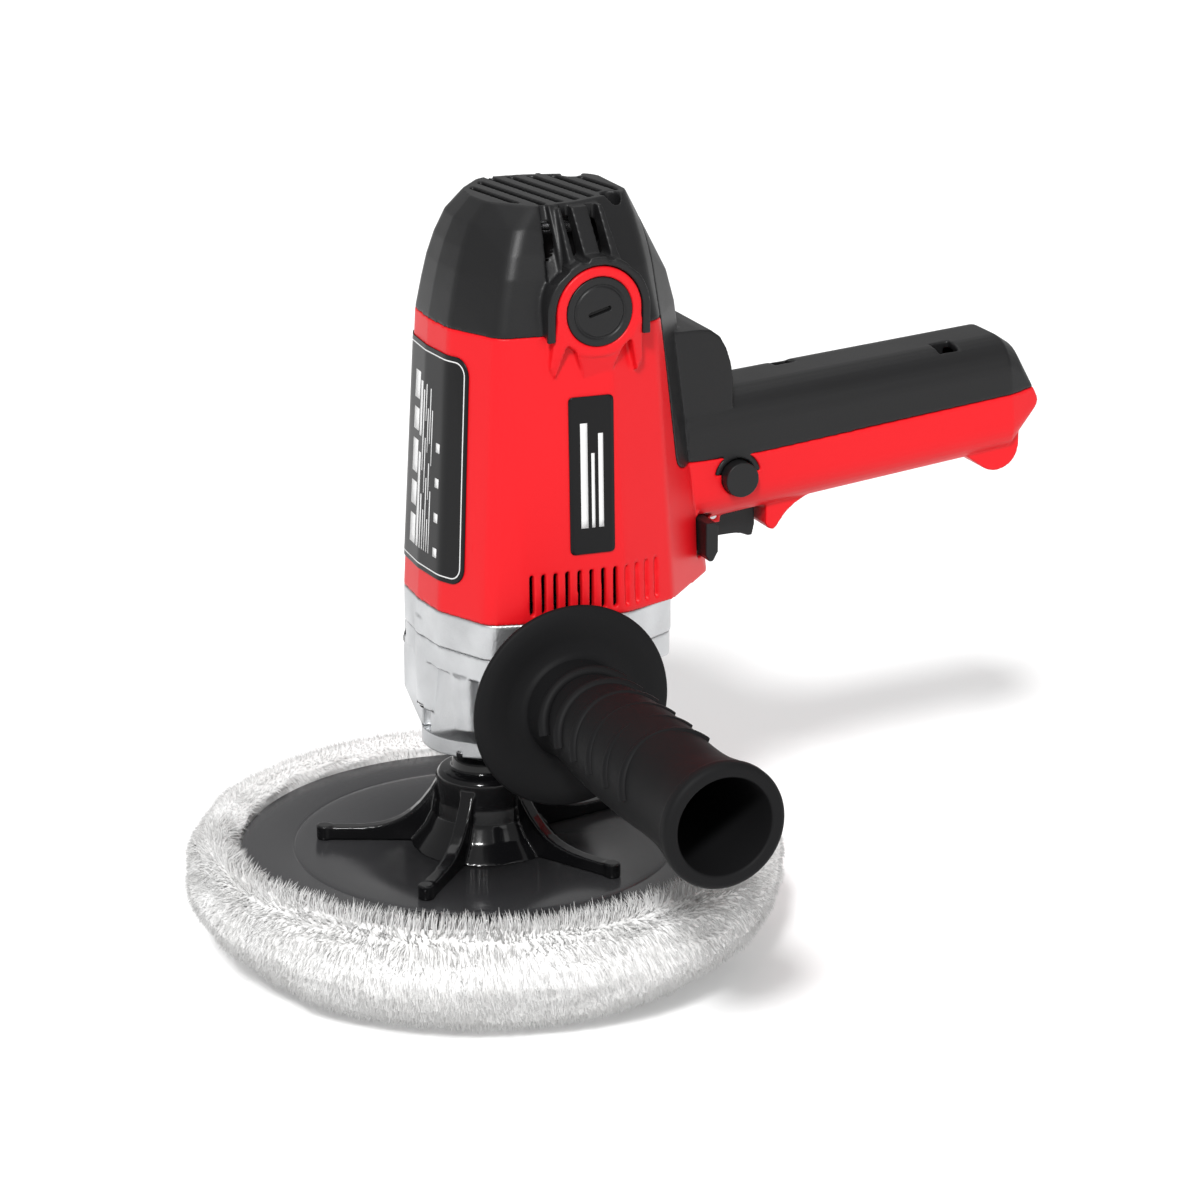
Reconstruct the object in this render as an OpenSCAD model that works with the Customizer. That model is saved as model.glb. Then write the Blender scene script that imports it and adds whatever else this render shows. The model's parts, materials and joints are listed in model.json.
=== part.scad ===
// Rotary polisher: a vertical motor over a two-stage gear case, a wool pad on the spindle,
// a closed rear handle with a trigger, and a screw-in side handle.
// Z is the spindle axis and Z = 0 is the face of the wool pad. +X points along the rear handle.

/* [Pad] */
// Radius of the backing plate
plate_r = 90; // [80:1:90]
// Thickness of the backing plate
plate_t = 8; // [6:0.5:9]
// Height of the top of the backing plate
plate_top = 40; // [38:0.5:41]
// Outer radius of the wool bonnet
wool_r = 112; // [108:1:115]
// Height of the wool bonnet's lip
wool_h = 49; // [46:0.5:51]
// Number of arms on the pad hub
hub_arms = 5; // [4:1:6]
// Reach of each arm from the spindle axis
arm_reach = 62; // [55:1:66]

/* [Gears] */
// Tooth module of all four gears
gear_m = 1; // [1:0.25:1.25]
// Teeth cut on the armature shaft
armature_teeth = 8; // [7:1:9]
// Teeth on the lay shaft's wheel
lay_wheel_teeth = 29; // [27:1:31]
// Teeth on the lay shaft's pinion
lay_pinion_teeth = 12; // [11:1:13]
// Teeth on the spindle gear
spindle_teeth = 36; // [34:1:38]
// Distance from the spindle axis to the motor axis
motor_x = 26; // [25.5:0.5:26]
// Play left on each flank
flank_play = 0.07; // [0.05:0.01:0.1]

/* [Housing] */
// Wall thickness of the plastic housings
wall = 2.8; // [2.2:0.1:3.2]
// Height of the joint between gear plate and motor housing
plate_joint_z = 137.5; // [137:0.5:138]
// Height of the joint between motor housing and top cap
cap_joint_z = 240.5; // [240:0.5:241]
// Height of the crown of the top cap
cap_top_z = 283; // [281:1:285]
// Number of cooling slots in each side
side_slots = 12; // [8:1:12]
// Pitch of the cooling slots
slot_pitch = 4.45; // [4:0.05:4.5]
// Number of slanted slots in the crown
crown_slots = 7; // [5:1:7]
// Gap left between neighbouring housing pieces
seam = 0.1; // [0.06:0.01:0.15]

/* [Rear handle] */
// Upward tilt of the rear handle in degrees
handle_tilt = 5.2; // [4:0.1:6]
// Half width of the rear handle
handle_w = 19.5; // [18:0.5:20]
// Reach of the rear handle's tip from the spindle axis
handle_tip_x = 220; // [218:1:224]

/* [Side handle] */
// Place of the side handle along X
grip_x = 12.6; // [12:0.1:13]
// Height of the side handle
grip_z = 108; // [107:0.5:109]
// Radius of the hand guard
guard_r = 37.3; // [34:0.1:38]
// Distance of the guard from the spindle axis
guard_y = 50; // [49:0.5:52]
// Distance of the grip's open end from the spindle axis
grip_end_y = 178; // [165:1:180]
// Radius of the hollow in the grip
grip_bore_r = 17; // [15:0.1:17]

/* [Motions] */
// Stroke of the lock-on button
lock_stroke = 3; // [2:0.5:3]
// Stroke of the selector to each side
selector_stroke = 3; // [2:0.5:3]
// Swing of the trigger in degrees
trigger_swing = 12; // [8:1:12]
// Stroke of the spindle lock
spindle_lock_stroke = 4; // [3.5:0.5:4]

/* [Hidden] */
$fn = 64;
hull_fn = 32;
slim = 0.01;
through = 200;

red = [0.86, 0.1, 0.12];
black = [0.12, 0.12, 0.13];
cast = [0.72, 0.73, 0.74];
steel = [0.6, 0.61, 0.63];
brass = [0.78, 0.62, 0.3];
copper = [0.72, 0.42, 0.22];
wool_white = [0.93, 0.92, 0.9];

// Gear centres: the lay shaft stands where both centre distances meet.
lay_to_spindle = gear_m * (lay_pinion_teeth + spindle_teeth) / 2;
lay_to_motor = gear_m * (armature_teeth + lay_wheel_teeth) / 2;
lay_x = (lay_to_spindle ^ 2 - lay_to_motor ^ 2 + motor_x ^ 2) / (2 * motor_x);
lay_y = sqrt(lay_to_spindle ^ 2 - lay_x ^ 2);
spindle_to_lay = atan2(lay_y, lay_x);
motor_to_lay = atan2(lay_y, lay_x - motor_x);

// Heights of the gear train.
spindle_gear_z = [100, 110];
lay_pinion_z = [99.6, 110.4];
lay_wheel_z = [116, 122];
pinion_z = [115, 123];

// Heights of the case.
case_bottom_z = 86.6;
flange_z = 115;
case_top_z = 124;
case_screw_seats = [[-21.9, 0, 97.4], [53, 28, flange_z], [53, -28, flange_z]];
collar_bottom_z = 80.3;
side_flat_y = 30;

// Motor pieces.
shaft_r = 4;
bearing_r = 11;
stator_z = [168, 213];
stator_r = 36;
brush_z = 248.5;
boss_x = 26.8;
boss_r = 16;
boss_y = 45;
brush_cap_r = 12.3;
commutator_r = 12;
bridge_z = 259;

// Outline of the motor block at rising heights:
// [z, front x, side corner x, rear nose x, half width].
levels = [
    [plate_joint_z, -25, 62, 84.5, 45.5],
    [cap_joint_z, -19.5, 56.5, 71, 42],
    [252, -17.3, 54.9, 68, 39.5],
    [260, -15.5, 53.8, 63.3, 37.8],
    [268, -13, 52.9, 56, 34.5],
    [276, -9.5, 52.2, 50, 29.5],
    [cap_top_z, -3, 51.2, 45, 24]];

// Rear handle frame: a point on the parting line, from which the handle runs tilted.
handle_x = 104;
handle_z = 182;
handle_root_u = -30;
handle_end_u = 103;

// Controls.
trigger_x = [84.6, 106.2];
trigger_pivot = [87, 157.5];
open_slots = 8;
grommet_x = 204.5;
grommet_z = 176;
trigger_w = 7.5;
lock_at = [93, 173.5];
lock_r = 6.5;
lever_x = [76.7, 81.6];
lever_z = [145.3, 160];
lever_w = 27;

// Spindle lock: its direction in plan and its height.
lock_dir = 120;
lock_pin_z = 113.3;
lock_pin_r = 1.5;
lock_knob_r = 28.4;
shoulder_r = 9.5;

// A closed wall outline of the motor block, set in by t.
module slice(level, t) {
    x0 = level[1];
    xs = level[2];
    xn = level[3];
    yh = level[4];
    discs = [[x0 + 12, 0, 12], [x0 + 11, yh * 0.31, 10], [x0 + 17, yh * 0.72, 8],
        [x0 + 25, yh - 10.5, 8], [xs - 26, yh - 8, 8], [xs - 8, yh - 14, 8], [xn - 10, yh * 0.2, 10]];
    for (d = discs)
        for (side = [-1, 1])
            translate([d[0], side * d[1], level[0]])
                cylinder(r = d[2] - t, h = slim, $fn = hull_fn);
}

// The motor block from the gear plate to the crown, set in by t.
module block(t) {
    hull()
        for (level = levels) {
            last = level[0] == cap_top_z;
            first = level[0] == plate_joint_z;
            drop = last ? t : first ? (t > 0 ? 1 : 0) : 0;
            slice([level[0] - drop, level[1], level[2], level[3], level[4]], t);
        }
}

// Moves its children into the tilted frame of the rear handle: X along it, Z across the parting.
module handle_frame()
    translate([handle_x, 0, handle_z])
        rotate([0, -handle_tilt, 0])
            children();

// One rounded cross-section of the rear handle at distance u.
module handle_slice(u, w, top, bottom, t) {
    r = 12;
    for (side = [-1, 1])
        for (z = [top - r, -bottom + r])
            translate([u, side * (w - r), z])
                rotate([0, 90, 0])
                    cylinder(r = r - t, h = slim, $fn = hull_fn);
}

// The rear handle, set in by t.
module handle_body(t)
    hull() {
        handle_frame() {
            handle_slice(handle_root_u, handle_w, 24.3, 24, t);
            handle_slice(handle_end_u, handle_w - 0.5, 21.2, 23.5, t);
            handle_slice(handle_end_u + 6, handle_w - 2.5, 16.5, 15, t);
        }
        translate([handle_tip_x - 4 - t, 0, 187])
            rotate([90, 0, 0])
                cylinder(r = 4 - t / 2, h = 30 - 2 * t, center = true, $fn = hull_fn);
    }

// The rounded lobe under the end of the rear handle: [x, z, radius] of its three rounds.
module end_lobe()
    hull()
        for (round = [[203.5, 170.5, 9.5], [203.5, 182, 9.5], [194, 175.5, 8]])
            translate([round[0], 0, round[1]])
                rotate([90, 0, 0])
                    cylinder(r = round[2], h = 28, center = true, $fn = hull_fn);

// The upper hump behind the motor block, which covers the wiring, set in by t.
module hump(t)
    rotate([90, 0, 0])
        linear_extrude(36 - 2 * t, center = true)
            polygon([[60, 190], [91.5 - t, 200], [91.5 - t, 210], [90.6 - t, 216.5],
                [88.8 - t, 222 - t / 2], [86.2 - t, 226.6 - t], [82.5 - t, 229.4 - t],
                [78, 230 - t], [60, 230 - t]]);

// The finger guard behind the trigger.
module finger_guard()
    rotate([90, 0, 0])
        linear_extrude(26, center = true)
            polygon([[107.8, 164], [107.8, 151.6], [109.2, 149.8], [111, 149.4], [112.2, 150.3],
                [113.8, 152.6], [116.2, 155.6], [119.4, 158.2], [123.4, 160.4], [127, 162],
                [127, 166], [112, 166]]);

// Everything behind and below the parting of the handle cover, as a plate along Y.
module cover_zone(gap) {
    rotate([90, 0, 0])
        linear_extrude(through, center = true)
            polygon([[56 + gap, 290], [56 + gap, cap_joint_z], [63.4 + gap, 187.5 + gap],
                [64.2 + gap, 184.8 + gap], [65.9, 182.6 + gap], [68.4, 181.4 + gap],
                [79, 181.2 + gap], [handle_x, handle_z + gap],
                [240, 194.4 + gap], [240, 290]]);
    translate([lock_at[0], 0, lock_at[1]])
        rotate([90, 0, 0])
            linear_extrude(through, center = true)
                intersection() {
                    circle(r = 9.3 - gap);
                    translate([-20, 1.5])
                        square([40, 20]);
                }
}

// The hollow shared by all housings.
module inside() {
    block(wall);
    handle_body(wall);
}

// A round bar along Y between two distances, on both sides.
module both_sides(r, y0, y1)
    for (side = [-1, 1])
        rotate([side * 90, 0, 0])
            translate([0, 0, y0])
                cylinder(r = r, h = y1 - y0);

// A pan-head screw that points along +Z with its head below z = 0.
module screw(r, length, head_r, head_h)
    union() {
        cylinder(r = r, h = length);
        difference() {
            translate([0, 0, -head_h])
                cylinder(r = head_r, h = head_h);
            for (turn = [0, 90])
                rotate([0, 0, turn])
                    translate([-head_r * 0.55, -0.4, -head_h - 1])
                        cube([head_r * 1.1, 0.8, 1 + head_h * 0.5]);
        }
    }

// A spring drawn as a corrugated tube about Z.
module spring(r, h, turns)
    rotate_extrude($fn = 32)
        polygon(concat(
            [for (i = [0 : turns * 2]) [r - (i % 2) * 0.8, h * i / (turns * 2)]],
            [for (i = [turns * 2 : -1 : 0]) [r - 0.6 - (i % 2) * 0.8, h * i / (turns * 2)]]));

// A shielded ball bearing about Z.
module ball_bearing(bore, r, h)
    difference() {
        cylinder(r = r, h = h);
        translate([0, 0, -1])
            cylinder(r = bore, h = h + 2);
        for (z = [-1, h - 0.6])
            translate([0, 0, z])
                difference() {
                    cylinder(r = r - (r - bore) * 0.28, h = 1.6);
                    translate([0, 0, -1])
                        cylinder(r = bore + (r - bore) * 0.28, h = 4);
                }
    }

// Point on an involute of base radius rb at roll angle t, turned back by a, mirrored by s.
function flank(rb, t, a, s) =
    let (radius = rb * sqrt(1 + (t * PI / 180) ^ 2),
        polar = s * (a - (t - atan(t * PI / 180))))
    [radius, polar];

// Outline of a spur gear with one tooth centred on +X.
function gear_points(teeth, add, ded) =
    let (rp = gear_m * teeth / 2,
        rb = rp * cos(20),
        ra = rp + gear_m * add,
        rr = rp - gear_m * ded,
        start = rr > rb ? sqrt((rr / rb) ^ 2 - 1) * 180 / PI : 0,
        end = sqrt((ra / rb) ^ 2 - 1) * 180 / PI,
        half = 90 / teeth - flank_play / rp * 180 / PI + tan(20) * 180 / PI - 20,
        foot = rr < rb ? [[rr, -half]] : [],
        foot_up = rr < rb ? [[rr, half]] : [],
        steps = 4,
        up = [for (i = [0 : steps]) flank(rb, start + (end - start) * i / steps, half, -1)],
        down = [for (i = [steps : -1 : 0]) flank(rb, start + (end - start) * i / steps, half, 1)],
        tooth = concat(foot, up, down, foot_up))
    [for (k = [0 : teeth - 1])
        for (p = tooth)
            [p[0] * cos(p[1] + k * 360 / teeth), p[0] * sin(p[1] + k * 360 / teeth)]];

module motor_housing()
    color(red)
    difference() {
        union() {
            difference() {
                intersection() {
                    union() {
                        block(0);
                        handle_body(0);
                        end_lobe();
                    }
                    translate([-60, -60, 100])
                        cube([360, 120, cap_joint_z - seam - 100]);
                }
                cover_zone(0);
                inside();
            }
            finger_guard();
            // Raised rings round the two brush caps.
            translate([boss_x, 0, brush_z])
                both_sides(boss_r, 30, boss_y);
            // Wall behind the selector.
            translate([74.5, -19, 138])
                cube([3, 38, 24]);
            // Ears that hold the trigger pin.
            for (side = [-1, 1])
                translate([84, side * 9.6 - 1.6, 154.5])
                    cube([6, 3.2, 6]);
            // Ribs that hold the stator.
            intersection() {
                block(1);
                for (turn = [45 : 90 : 315])
                    translate([motor_x, 0, 157])
                        rotate([0, 0, turn])
                            translate([stator_r - 0.5, -3, 0])
                                cube([25, 6, 56]);
            }
        }
        translate([motor_x, 0, 150])
            cylinder(r = stator_r, h = 70);
        // Seats of the brush caps and holders.
        translate([boss_x, 0, brush_z]) {
            both_sides(brush_cap_r + 0.1, 38, through / 2);
            both_sides(7.9, 20, 40);
        }
        // Cooling slots.
        cooling_slots(0, open_slots - 1);
        difference() {
            cooling_slots(open_slots, side_slots - 1);
            block(1.3);
        }
        // Notch and stem slot of the selector.
        translate([lever_x[0] - 0.4, -lever_w - 5 * selector_stroke, lever_z[0] - 0.4])
            cube([84 - lever_x[0] + 0.4, 2 * lever_w + 10 * selector_stroke,
                lever_z[1] - lever_z[0] + 0.8]);
        translate([70, -6, 145.7])
            cube([10, 12, 4.6]);
        // Trigger slot.
        translate([trigger_x[0] - 0.4, -trigger_w - 0.3, 140])
            cube([trigger_x[1] - trigger_x[0] + 0.7, 2 * trigger_w + 0.6,
                27.4 + (trigger_x[1] - trigger_x[0]) * tan(trigger_swing)]);
        translate([trigger_pivot[0], 0, trigger_pivot[1]])
            rotate([90, 0, 0])
                cylinder(r = 1.5, h = 23, center = true);
        // Lock-on button hole in the near side.
        translate([lock_at[0], 0, lock_at[1]])
            rotate([90, 0, 0])
                cylinder(r = lock_r + 0.06, h = 40);
        // Cord entry at the end of the handle.
        translate([grommet_x - 4, 0, grommet_z])
            rotate([0, 90, 0]) {
                cylinder(r = 6.5, h = 30);
                translate([0, 0, 13])
                    cylinder(r = 7.8, h = 20);
            }
        // Screw holes from the handle cover and the gear case.
        handle_screw_places()
            translate([0, 0, -30])
                cylinder(r = 1.75, h = 30);
        case_screw_places()
            cylinder(r = 2.1, h = 30);
    }

// The cooling slots of both sides, from one number to another.
module cooling_slots(first, last)
    for (i = [first : last])
        translate([1.7 + i * slot_pitch - 0.8, -through / 2, 140])
            cube([1.6, through, 15]);

// Places of the handle screws: origin on the parting, Z up through the cover.
module handle_screw_places()
    handle_frame()
        for (place = [[22, 9], [80.5, -9]])
            translate([place[0], place[1], 0])
                children();

// Places of the screws through the gear case; Z is at the seat of each head.
module case_screw_places()
    for (seat = case_screw_seats)
        translate(seat)
            children();

module handle_cover()
    color(black)
    difference() {
        union() {
            difference() {
                intersection() {
                    union() {
                        block(0);
                        handle_body(0);
                        hump(0);
                    }
                    cover_zone(seam);
                }
                inside();
                hump(wall);
            }
            // Screw pillars.
            intersection() {
                handle_body(0);
                handle_screw_places()
                    translate([0, 0, 0.2])
                        cylinder(r = 4.5, h = 22);
            }
        }
        handle_screw_places() {
            translate([0, 0, -1])
                cylinder(r = 1.85, h = 40);
            translate([-4, -4, 12])
                cube([8, 8, 20]);
        }
        // Half-round relief over the lock-on button.
        translate([lock_at[0], 0, lock_at[1]])
            rotate([90, 0, 0])
                cylinder(r = lock_r + 0.5, h = 40);
    }

module top_cap()
    color(black)
    difference() {
        union() {
            difference() {
                intersection() {
                    difference() {
                        block(0);
                        block(wall - 0.4);
                    }
                    translate([-60, -60, cap_joint_z])
                        cube([116 - seam, 120, 60]);
                }
                crown_slot_set();
            }
            // Sunk tubes that take the two cap screws.
            intersection() {
                block(0);
                cap_screw_places()
                    translate([0, 0, -3.3])
                        cylinder(r = 5.4, h = 20);
            }
        }
        // Arches over the brush rings.
        translate([boss_x, 0, brush_z])
            both_sides(boss_r + seam, 25, through / 2);
        // Air slots above each arch.
        for (side = [-1, 1])
            for (x = [21.5, 31.5])
                translate([x, side * 36, 268])
                    cube([4, 30, 10], center = true);
        cap_screw_places() {
            translate([0, 0, -20])
                cylinder(r = 1.8, h = 40);
            cylinder(r = 3.6, h = 20);
        }
    }

// The slots across the crown, which stop short of its rim.
module crown_slot_set() {
    crown = levels[len(levels) - 1];
    intersection() {
        for (i = [0 : crown_slots - 1])
            translate([4 + i * 7, 0, cap_top_z])
                rotate([0, 0, 10])
                    cube([2.6, 60, 12], center = true);
        hull()
            for (z = [-10, 4])
                slice([crown[0] + z, crown[1], crown[2], crown[3], crown[4]], 2.6);
    }
}

// Places of the two screws that hold the cap to the bearing bridge, in sunk pockets.
module cap_screw_places()
    for (side = [-1, 1])
        translate([motor_x + 17, side * 17, cap_top_z - 8])
            children();

// Outline of the cast pieces at the level of the gear plate.
module case_outline(inset)
    hull()
        for (d = [[-13, 0, 12], [-14, 14.1, 10], [-8, 32.7, 8], [0, 35, 8], [36, 37.5, 8], [53, 29, 8]])
            for (side = [-1, 1])
                translate([d[0], side * d[1]])
                    circle(r = d[2] - inset, $fn = hull_fn);

module gear_case()
    color(cast)
    difference() {
        union() {
            translate([0, 0, flange_z])
                linear_extrude(case_top_z - flange_z)
                    case_outline(0.4);
            // Lower case with a rounded foot.
            hull() {
                for (x = [-15, 39])
                    for (side = [-1, 1])
                        translate([x, side * (side_flat_y - 6), 0]) {
                            translate([0, 0, 95])
                                cylinder(r = 6, h = flange_z - 95, $fn = hull_fn);
                            translate([x > 0 ? -6 : 6, -side * 5, case_bottom_z])
                                cylinder(r = 4, h = slim, $fn = hull_fn);
                        }
                translate([0, 0, case_bottom_z])
                    cylinder(r = 22.6, h = 6);
            }
            // Half-round column at the front.
            translate([-13.6, 0, 96])
                cylinder(r = 11.6, h = case_top_z - 96);
            // Pads that carry the side handle.
            for (side = [-1, 1])
                translate([grip_x, side * 36, grip_z - 5.5])
                    cube([52, 16, 23], center = true);
            translate([grip_x, 0, grip_z])
                both_sides(13, 30, 47);
        }
        // Bearing seat, gear chamber and pockets.
        translate([0, 0, case_bottom_z - 1])
            cylinder(r = 17.5, h = 12);
        translate([0, 0, 90])
            cylinder(r = 14.5, h = 20);
        translate([0, 0, 99.2])
            cylinder(r = 19.6, h = 30);
        translate([lay_x, lay_y, 98.4])
            cylinder(r = 8.2, h = 30);
        translate([lay_x, lay_y, 114.5])
            cylinder(r = 17, h = 20);
        translate([lay_x, lay_y, 91])
            cylinder(r = 6, h = 20);
        translate([motor_x, 0, 113])
            cylinder(r = 8, h = 20);
        // Threaded sockets for the side handle, one on each side.
        translate([grip_x, 0, grip_z])
            both_sides(4.05, 27, 60);
        // Bore and counterbore of the spindle lock.
        translate([0, 0, lock_pin_z])
            rotate([0, 0, lock_dir])
                rotate([0, 90, 0]) {
                    cylinder(r = lock_pin_r + 0.05, h = 60);
                    translate([0, 0, 24.2])
                        cylinder(r = 5.2, h = 40);
                }
        case_screw_places() {
            cylinder(r = 2.1, h = 60);
            translate([0, 0, -30])
                cylinder(r = 4, h = 30);
        }
        cover_screw_places()
            cylinder(r = 1.5, h = 4.2);
    }

module gear_plate()
    color(cast)
    difference() {
        translate([0, 0, case_top_z + 0.05])
            linear_extrude(plate_joint_z - case_top_z - 0.1)
                case_outline(0);
        translate([0, 0, case_top_z - 1])
            cylinder(r = 8, h = 11);
        translate([lay_x, lay_y, case_top_z - 1])
            cylinder(r = 6, h = 9);
        translate([motor_x, 0, 127])
            cylinder(r = bearing_r, h = 20);
        translate([motor_x, 0, case_top_z - 1])
            cylinder(r = 6, h = 20);
        case_screw_places()
            cylinder(r = 2.1, h = 60);
    }

module bearing_cover()
    color(cast)
    difference() {
        translate([0, 0, collar_bottom_z])
            cylinder(r = 22.6, h = case_bottom_z - collar_bottom_z);
        translate([0, 0, collar_bottom_z - 1])
            cylinder(r = 9, h = 20);
        translate([0, 0, collar_bottom_z + 2])
            cylinder(r = 11.5, h = 3);
        cover_screw_places()
            translate([0, 0, -20]) {
                cylinder(r = 1.7, h = 30);
                cylinder(r = 3.1, h = 15.7);
            }
    }

// Places of the four screws that hold the bearing cover.
module cover_screw_places()
    for (turn = [45 : 90 : 315])
        rotate([0, 0, turn])
            translate([19.6, 0, case_bottom_z])
                children();

module felt_seal()
    color([0.35, 0.33, 0.3])
    translate([0, 0, collar_bottom_z + 2.05])
        difference() {
            cylinder(r = 11.45, h = 2.9);
            translate([0, 0, -1])
                cylinder(r = 8.55, h = 6);
        }

module spindle_bearing()
    color(steel)
    translate([0, 0, case_bottom_z + 0.02])
        ball_bearing(7.52, 17.48, 10.9);

module spindle_bush()
    color(brass)
    translate([0, 0, case_top_z])
        difference() {
            cylinder(r = 7.98, h = 9.9);
            translate([0, 0, -1])
                cylinder(r = 5.04, h = 12);
        }

module lay_shaft_bushes()
    color(brass)
    for (z = [91.1, case_top_z])
        translate([lay_x, lay_y, z])
            difference() {
                cylinder(r = 5.98, h = 7);
                translate([0, 0, -1])
                    cylinder(r = 4.04, h = 12);
            }

module drive_end_bearing()
    color(steel)
    translate([motor_x, 0, 127.05])
        ball_bearing(shaft_r + 0.02, bearing_r - 0.02, 7);

module commutator_end_bearing()
    color(steel)
    translate([motor_x, 0, bridge_z + 3.1])
        ball_bearing(shaft_r + 0.02, bearing_r - 0.02, 7);

module bearing_bridge()
    color([0.2, 0.2, 0.21])
    difference() {
        union() {
            translate([motor_x, 0, bridge_z])
                cylinder(r = 14, h = 11);
            translate([motor_x, 0, bridge_z + 2])
                for (turn = [45, 135])
                    rotate([0, 0, turn])
                        cube([62, 7.4, 3.6], center = true);
            cap_screw_places()
                translate([0, 0, bridge_z - cap_top_z + 8.6])
                    cylinder(r = 4.2, h = 12);
            for (turn = [45 : 90 : 315])
                translate([motor_x, 0, stator_z[1]])
                    rotate([0, 0, turn])
                        translate([32.4, 0, 0])
                            cylinder(r = 3.2, h = bridge_z + 4.6 - stator_z[1]);
        }
        translate([motor_x, 0, bridge_z + 3])
            cylinder(r = bearing_r, h = 20);
        translate([motor_x, 0, bridge_z - 1])
            cylinder(r = 7, h = 20);
        cap_screw_places()
            translate([0, 0, -13])
                cylinder(r = 1.5, h = 20);
    }

module stator_core()
    color(steel)
    translate([motor_x, 0, stator_z[0]])
        difference() {
            cylinder(r = stator_r - 0.02, h = stator_z[1] - stator_z[0]);
            translate([0, 0, -1])
                cylinder(r = 20.6, h = 60);
            for (side = [-1, 1])
                translate([side * 25, 0, 22])
                    cube([9, 26, 60], center = true);
        }

module stator_windings()
    color(copper)
    for (z = [stator_z[0] - 8, stator_z[1]])
        translate([motor_x, 0, z])
            difference() {
                cylinder(r = 28.8, h = 8);
                translate([0, 0, -1])
                    cylinder(r = 21.5, h = 12);
            }

module fan_baffle()
    color(black)
    translate([motor_x, 0, 154.2])
        difference() {
            cylinder(r = 40, h = 2.7);
            translate([0, 0, -1])
                cylinder(r = 24, h = 5);
        }

module brush_holders()
    color(brass)
    for (side = [-1, 1])
        translate([boss_x, side * 26, brush_z])
            difference() {
                cube([10, 22, 12], center = true);
                cube([6.4, 24, 8.4], center = true);
            }

module carbon_brushes()
    color([0.15, 0.15, 0.16])
    for (side = [-1, 1])
        translate([boss_x, side * 20.4, brush_z])
            cube([6.2, 16, 8.2], center = true);

module brush_springs()
    color(steel)
    for (side = [-1, 1])
        translate([boss_x, side * 28.5, brush_z])
            rotate([-side * 90, 0, 0])
                spring(2.8, 9.3, 5);

module brush_caps()
    color(black)
    for (side = [-1, 1])
        translate([boss_x, side * 38.1, brush_z])
            rotate([-side * 90, 0, 0])
                difference() {
                    cylinder(r = brush_cap_r, h = 6.9);
                    translate([0, 0, 6.4])
                        difference() {
                            cylinder(r = 9.8, h = 2);
                            translate([0, 0, -1])
                                cylinder(r = 8.8, h = 4);
                        }
                    rotate([0, 0, -side * 15])
                        translate([-4.3, -0.8, 5])
                            cube([8.6, 1.6, 3]);
                }

module switch_body()
    color([0.25, 0.25, 0.26])
    difference() {
        translate([84, -11, 178])
            cube([34, 22, 20]);
        translate([90, -20, 195])
            cube([3, 40, 5]);
        translate([108, -20, 195])
            cube([3, 40, 5]);
    }

module suppressor_capacitor()
    color([0.75, 0.65, 0.2])
    handle_frame()
        translate([44, -9, -8])
            cube([20, 18, 11]);

module cord_grommet()
    color([0.08, 0.08, 0.08])
    translate([grommet_x, 0, grommet_z])
        rotate([0, 90, 0])
            difference() {
                union() {
                    cylinder(r = 6.45, h = 10);
                    translate([0, 0, 9.2])
                        cylinder(r = 7.6, h = 2);
                }
                translate([0, 0, -1])
                    cylinder(r = 4.2, h = 20);
            }

module cord_clamp()
    color(black)
    translate([196, 0, 172.5])
        difference() {
            cube([8, 19, 3], center = true);
            for (side = [-1, 1])
                translate([0, side * 7, -5])
                    cylinder(r = 1.4, h = 10);
        }

module side_handle_grip()
    color(black)
    translate([grip_x, 0, grip_z])
        rotate([90, 0, 0])
            difference() {
                rotate_extrude()
                    polygon([[0, guard_y], [guard_r - 1.5, guard_y], [guard_r, guard_y + 1.5],
                        [guard_r - 1, guard_y + 4], [18, guard_y + 3], [17.6, guard_y + 12],
                        [16.8, guard_y + 15], [17.6, guard_y + 22], [19, guard_y + 50],
                        [19.4, guard_y + 78], [18.8, guard_y + 100], [19.6, guard_y + 112],
                        [21.6, grip_end_y - 6], [22.2, grip_end_y - 2.5],
                        [21.4, grip_end_y - 0.6], [20, grip_end_y], [0, grip_end_y]]);
                translate([0, 0, grip_end_y - 85])
                    cylinder(r = grip_bore_r, h = 90);
                translate([0, 0, guard_y - 1])
                    cylinder(r = 4.05, h = 31);
            }

module side_handle_stud()
    color(steel)
    translate([grip_x, 0, grip_z])
        rotate([90, 0, 0]) {
            translate([0, 0, 28])
                cylinder(r = 4, h = 51);
            translate([0, 0, 47.1])
                cylinder(r = 9, h = 2.8);
        }

// Label that follows the front of the motor housing.
module front_label()
    color([0.05, 0.05, 0.05])
    intersection() {
        difference() {
            block(-0.5);
            block(-0.05);
        }
        translate([-40, -27, 149])
            cube([33, 54, 82]);
    }

module side_badges()
    color([0.05, 0.05, 0.05])
    intersection() {
        difference() {
            block(-0.8);
            block(-0.05);
        }
        translate([16, -60, 161])
            cube([16.5, 120, 57]);
    }

module cap_screws()
    color(steel)
    cap_screw_places()
        translate([0, 0, 0.05])
            rotate([180, 0, 0])
                screw(1.45, 12, 3.2, 1.8);

module handle_screws()
    color(steel)
    handle_screw_places()
        translate([0, 0, 12])
            rotate([180, 0, 0])
                screw(1.7, 30, 3.4, 2.4);

module case_screws()
    color(steel)
    for (seat = case_screw_seats)
        translate(seat)
            screw(2, seat[2] < flange_z ? 38.6 : 26, 3.2, 2.8);

module cover_screws()
    color(steel)
    cover_screw_places()
        translate([0, 0, -4.3])
            screw(1.45, 8, 3, 1.8);

module trigger_pin()
    color(steel)
    translate([trigger_pivot[0], 0, trigger_pivot[1]])
        rotate([90, 0, 0])
            cylinder(r = 1.48, h = 22.4, center = true);

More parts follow.
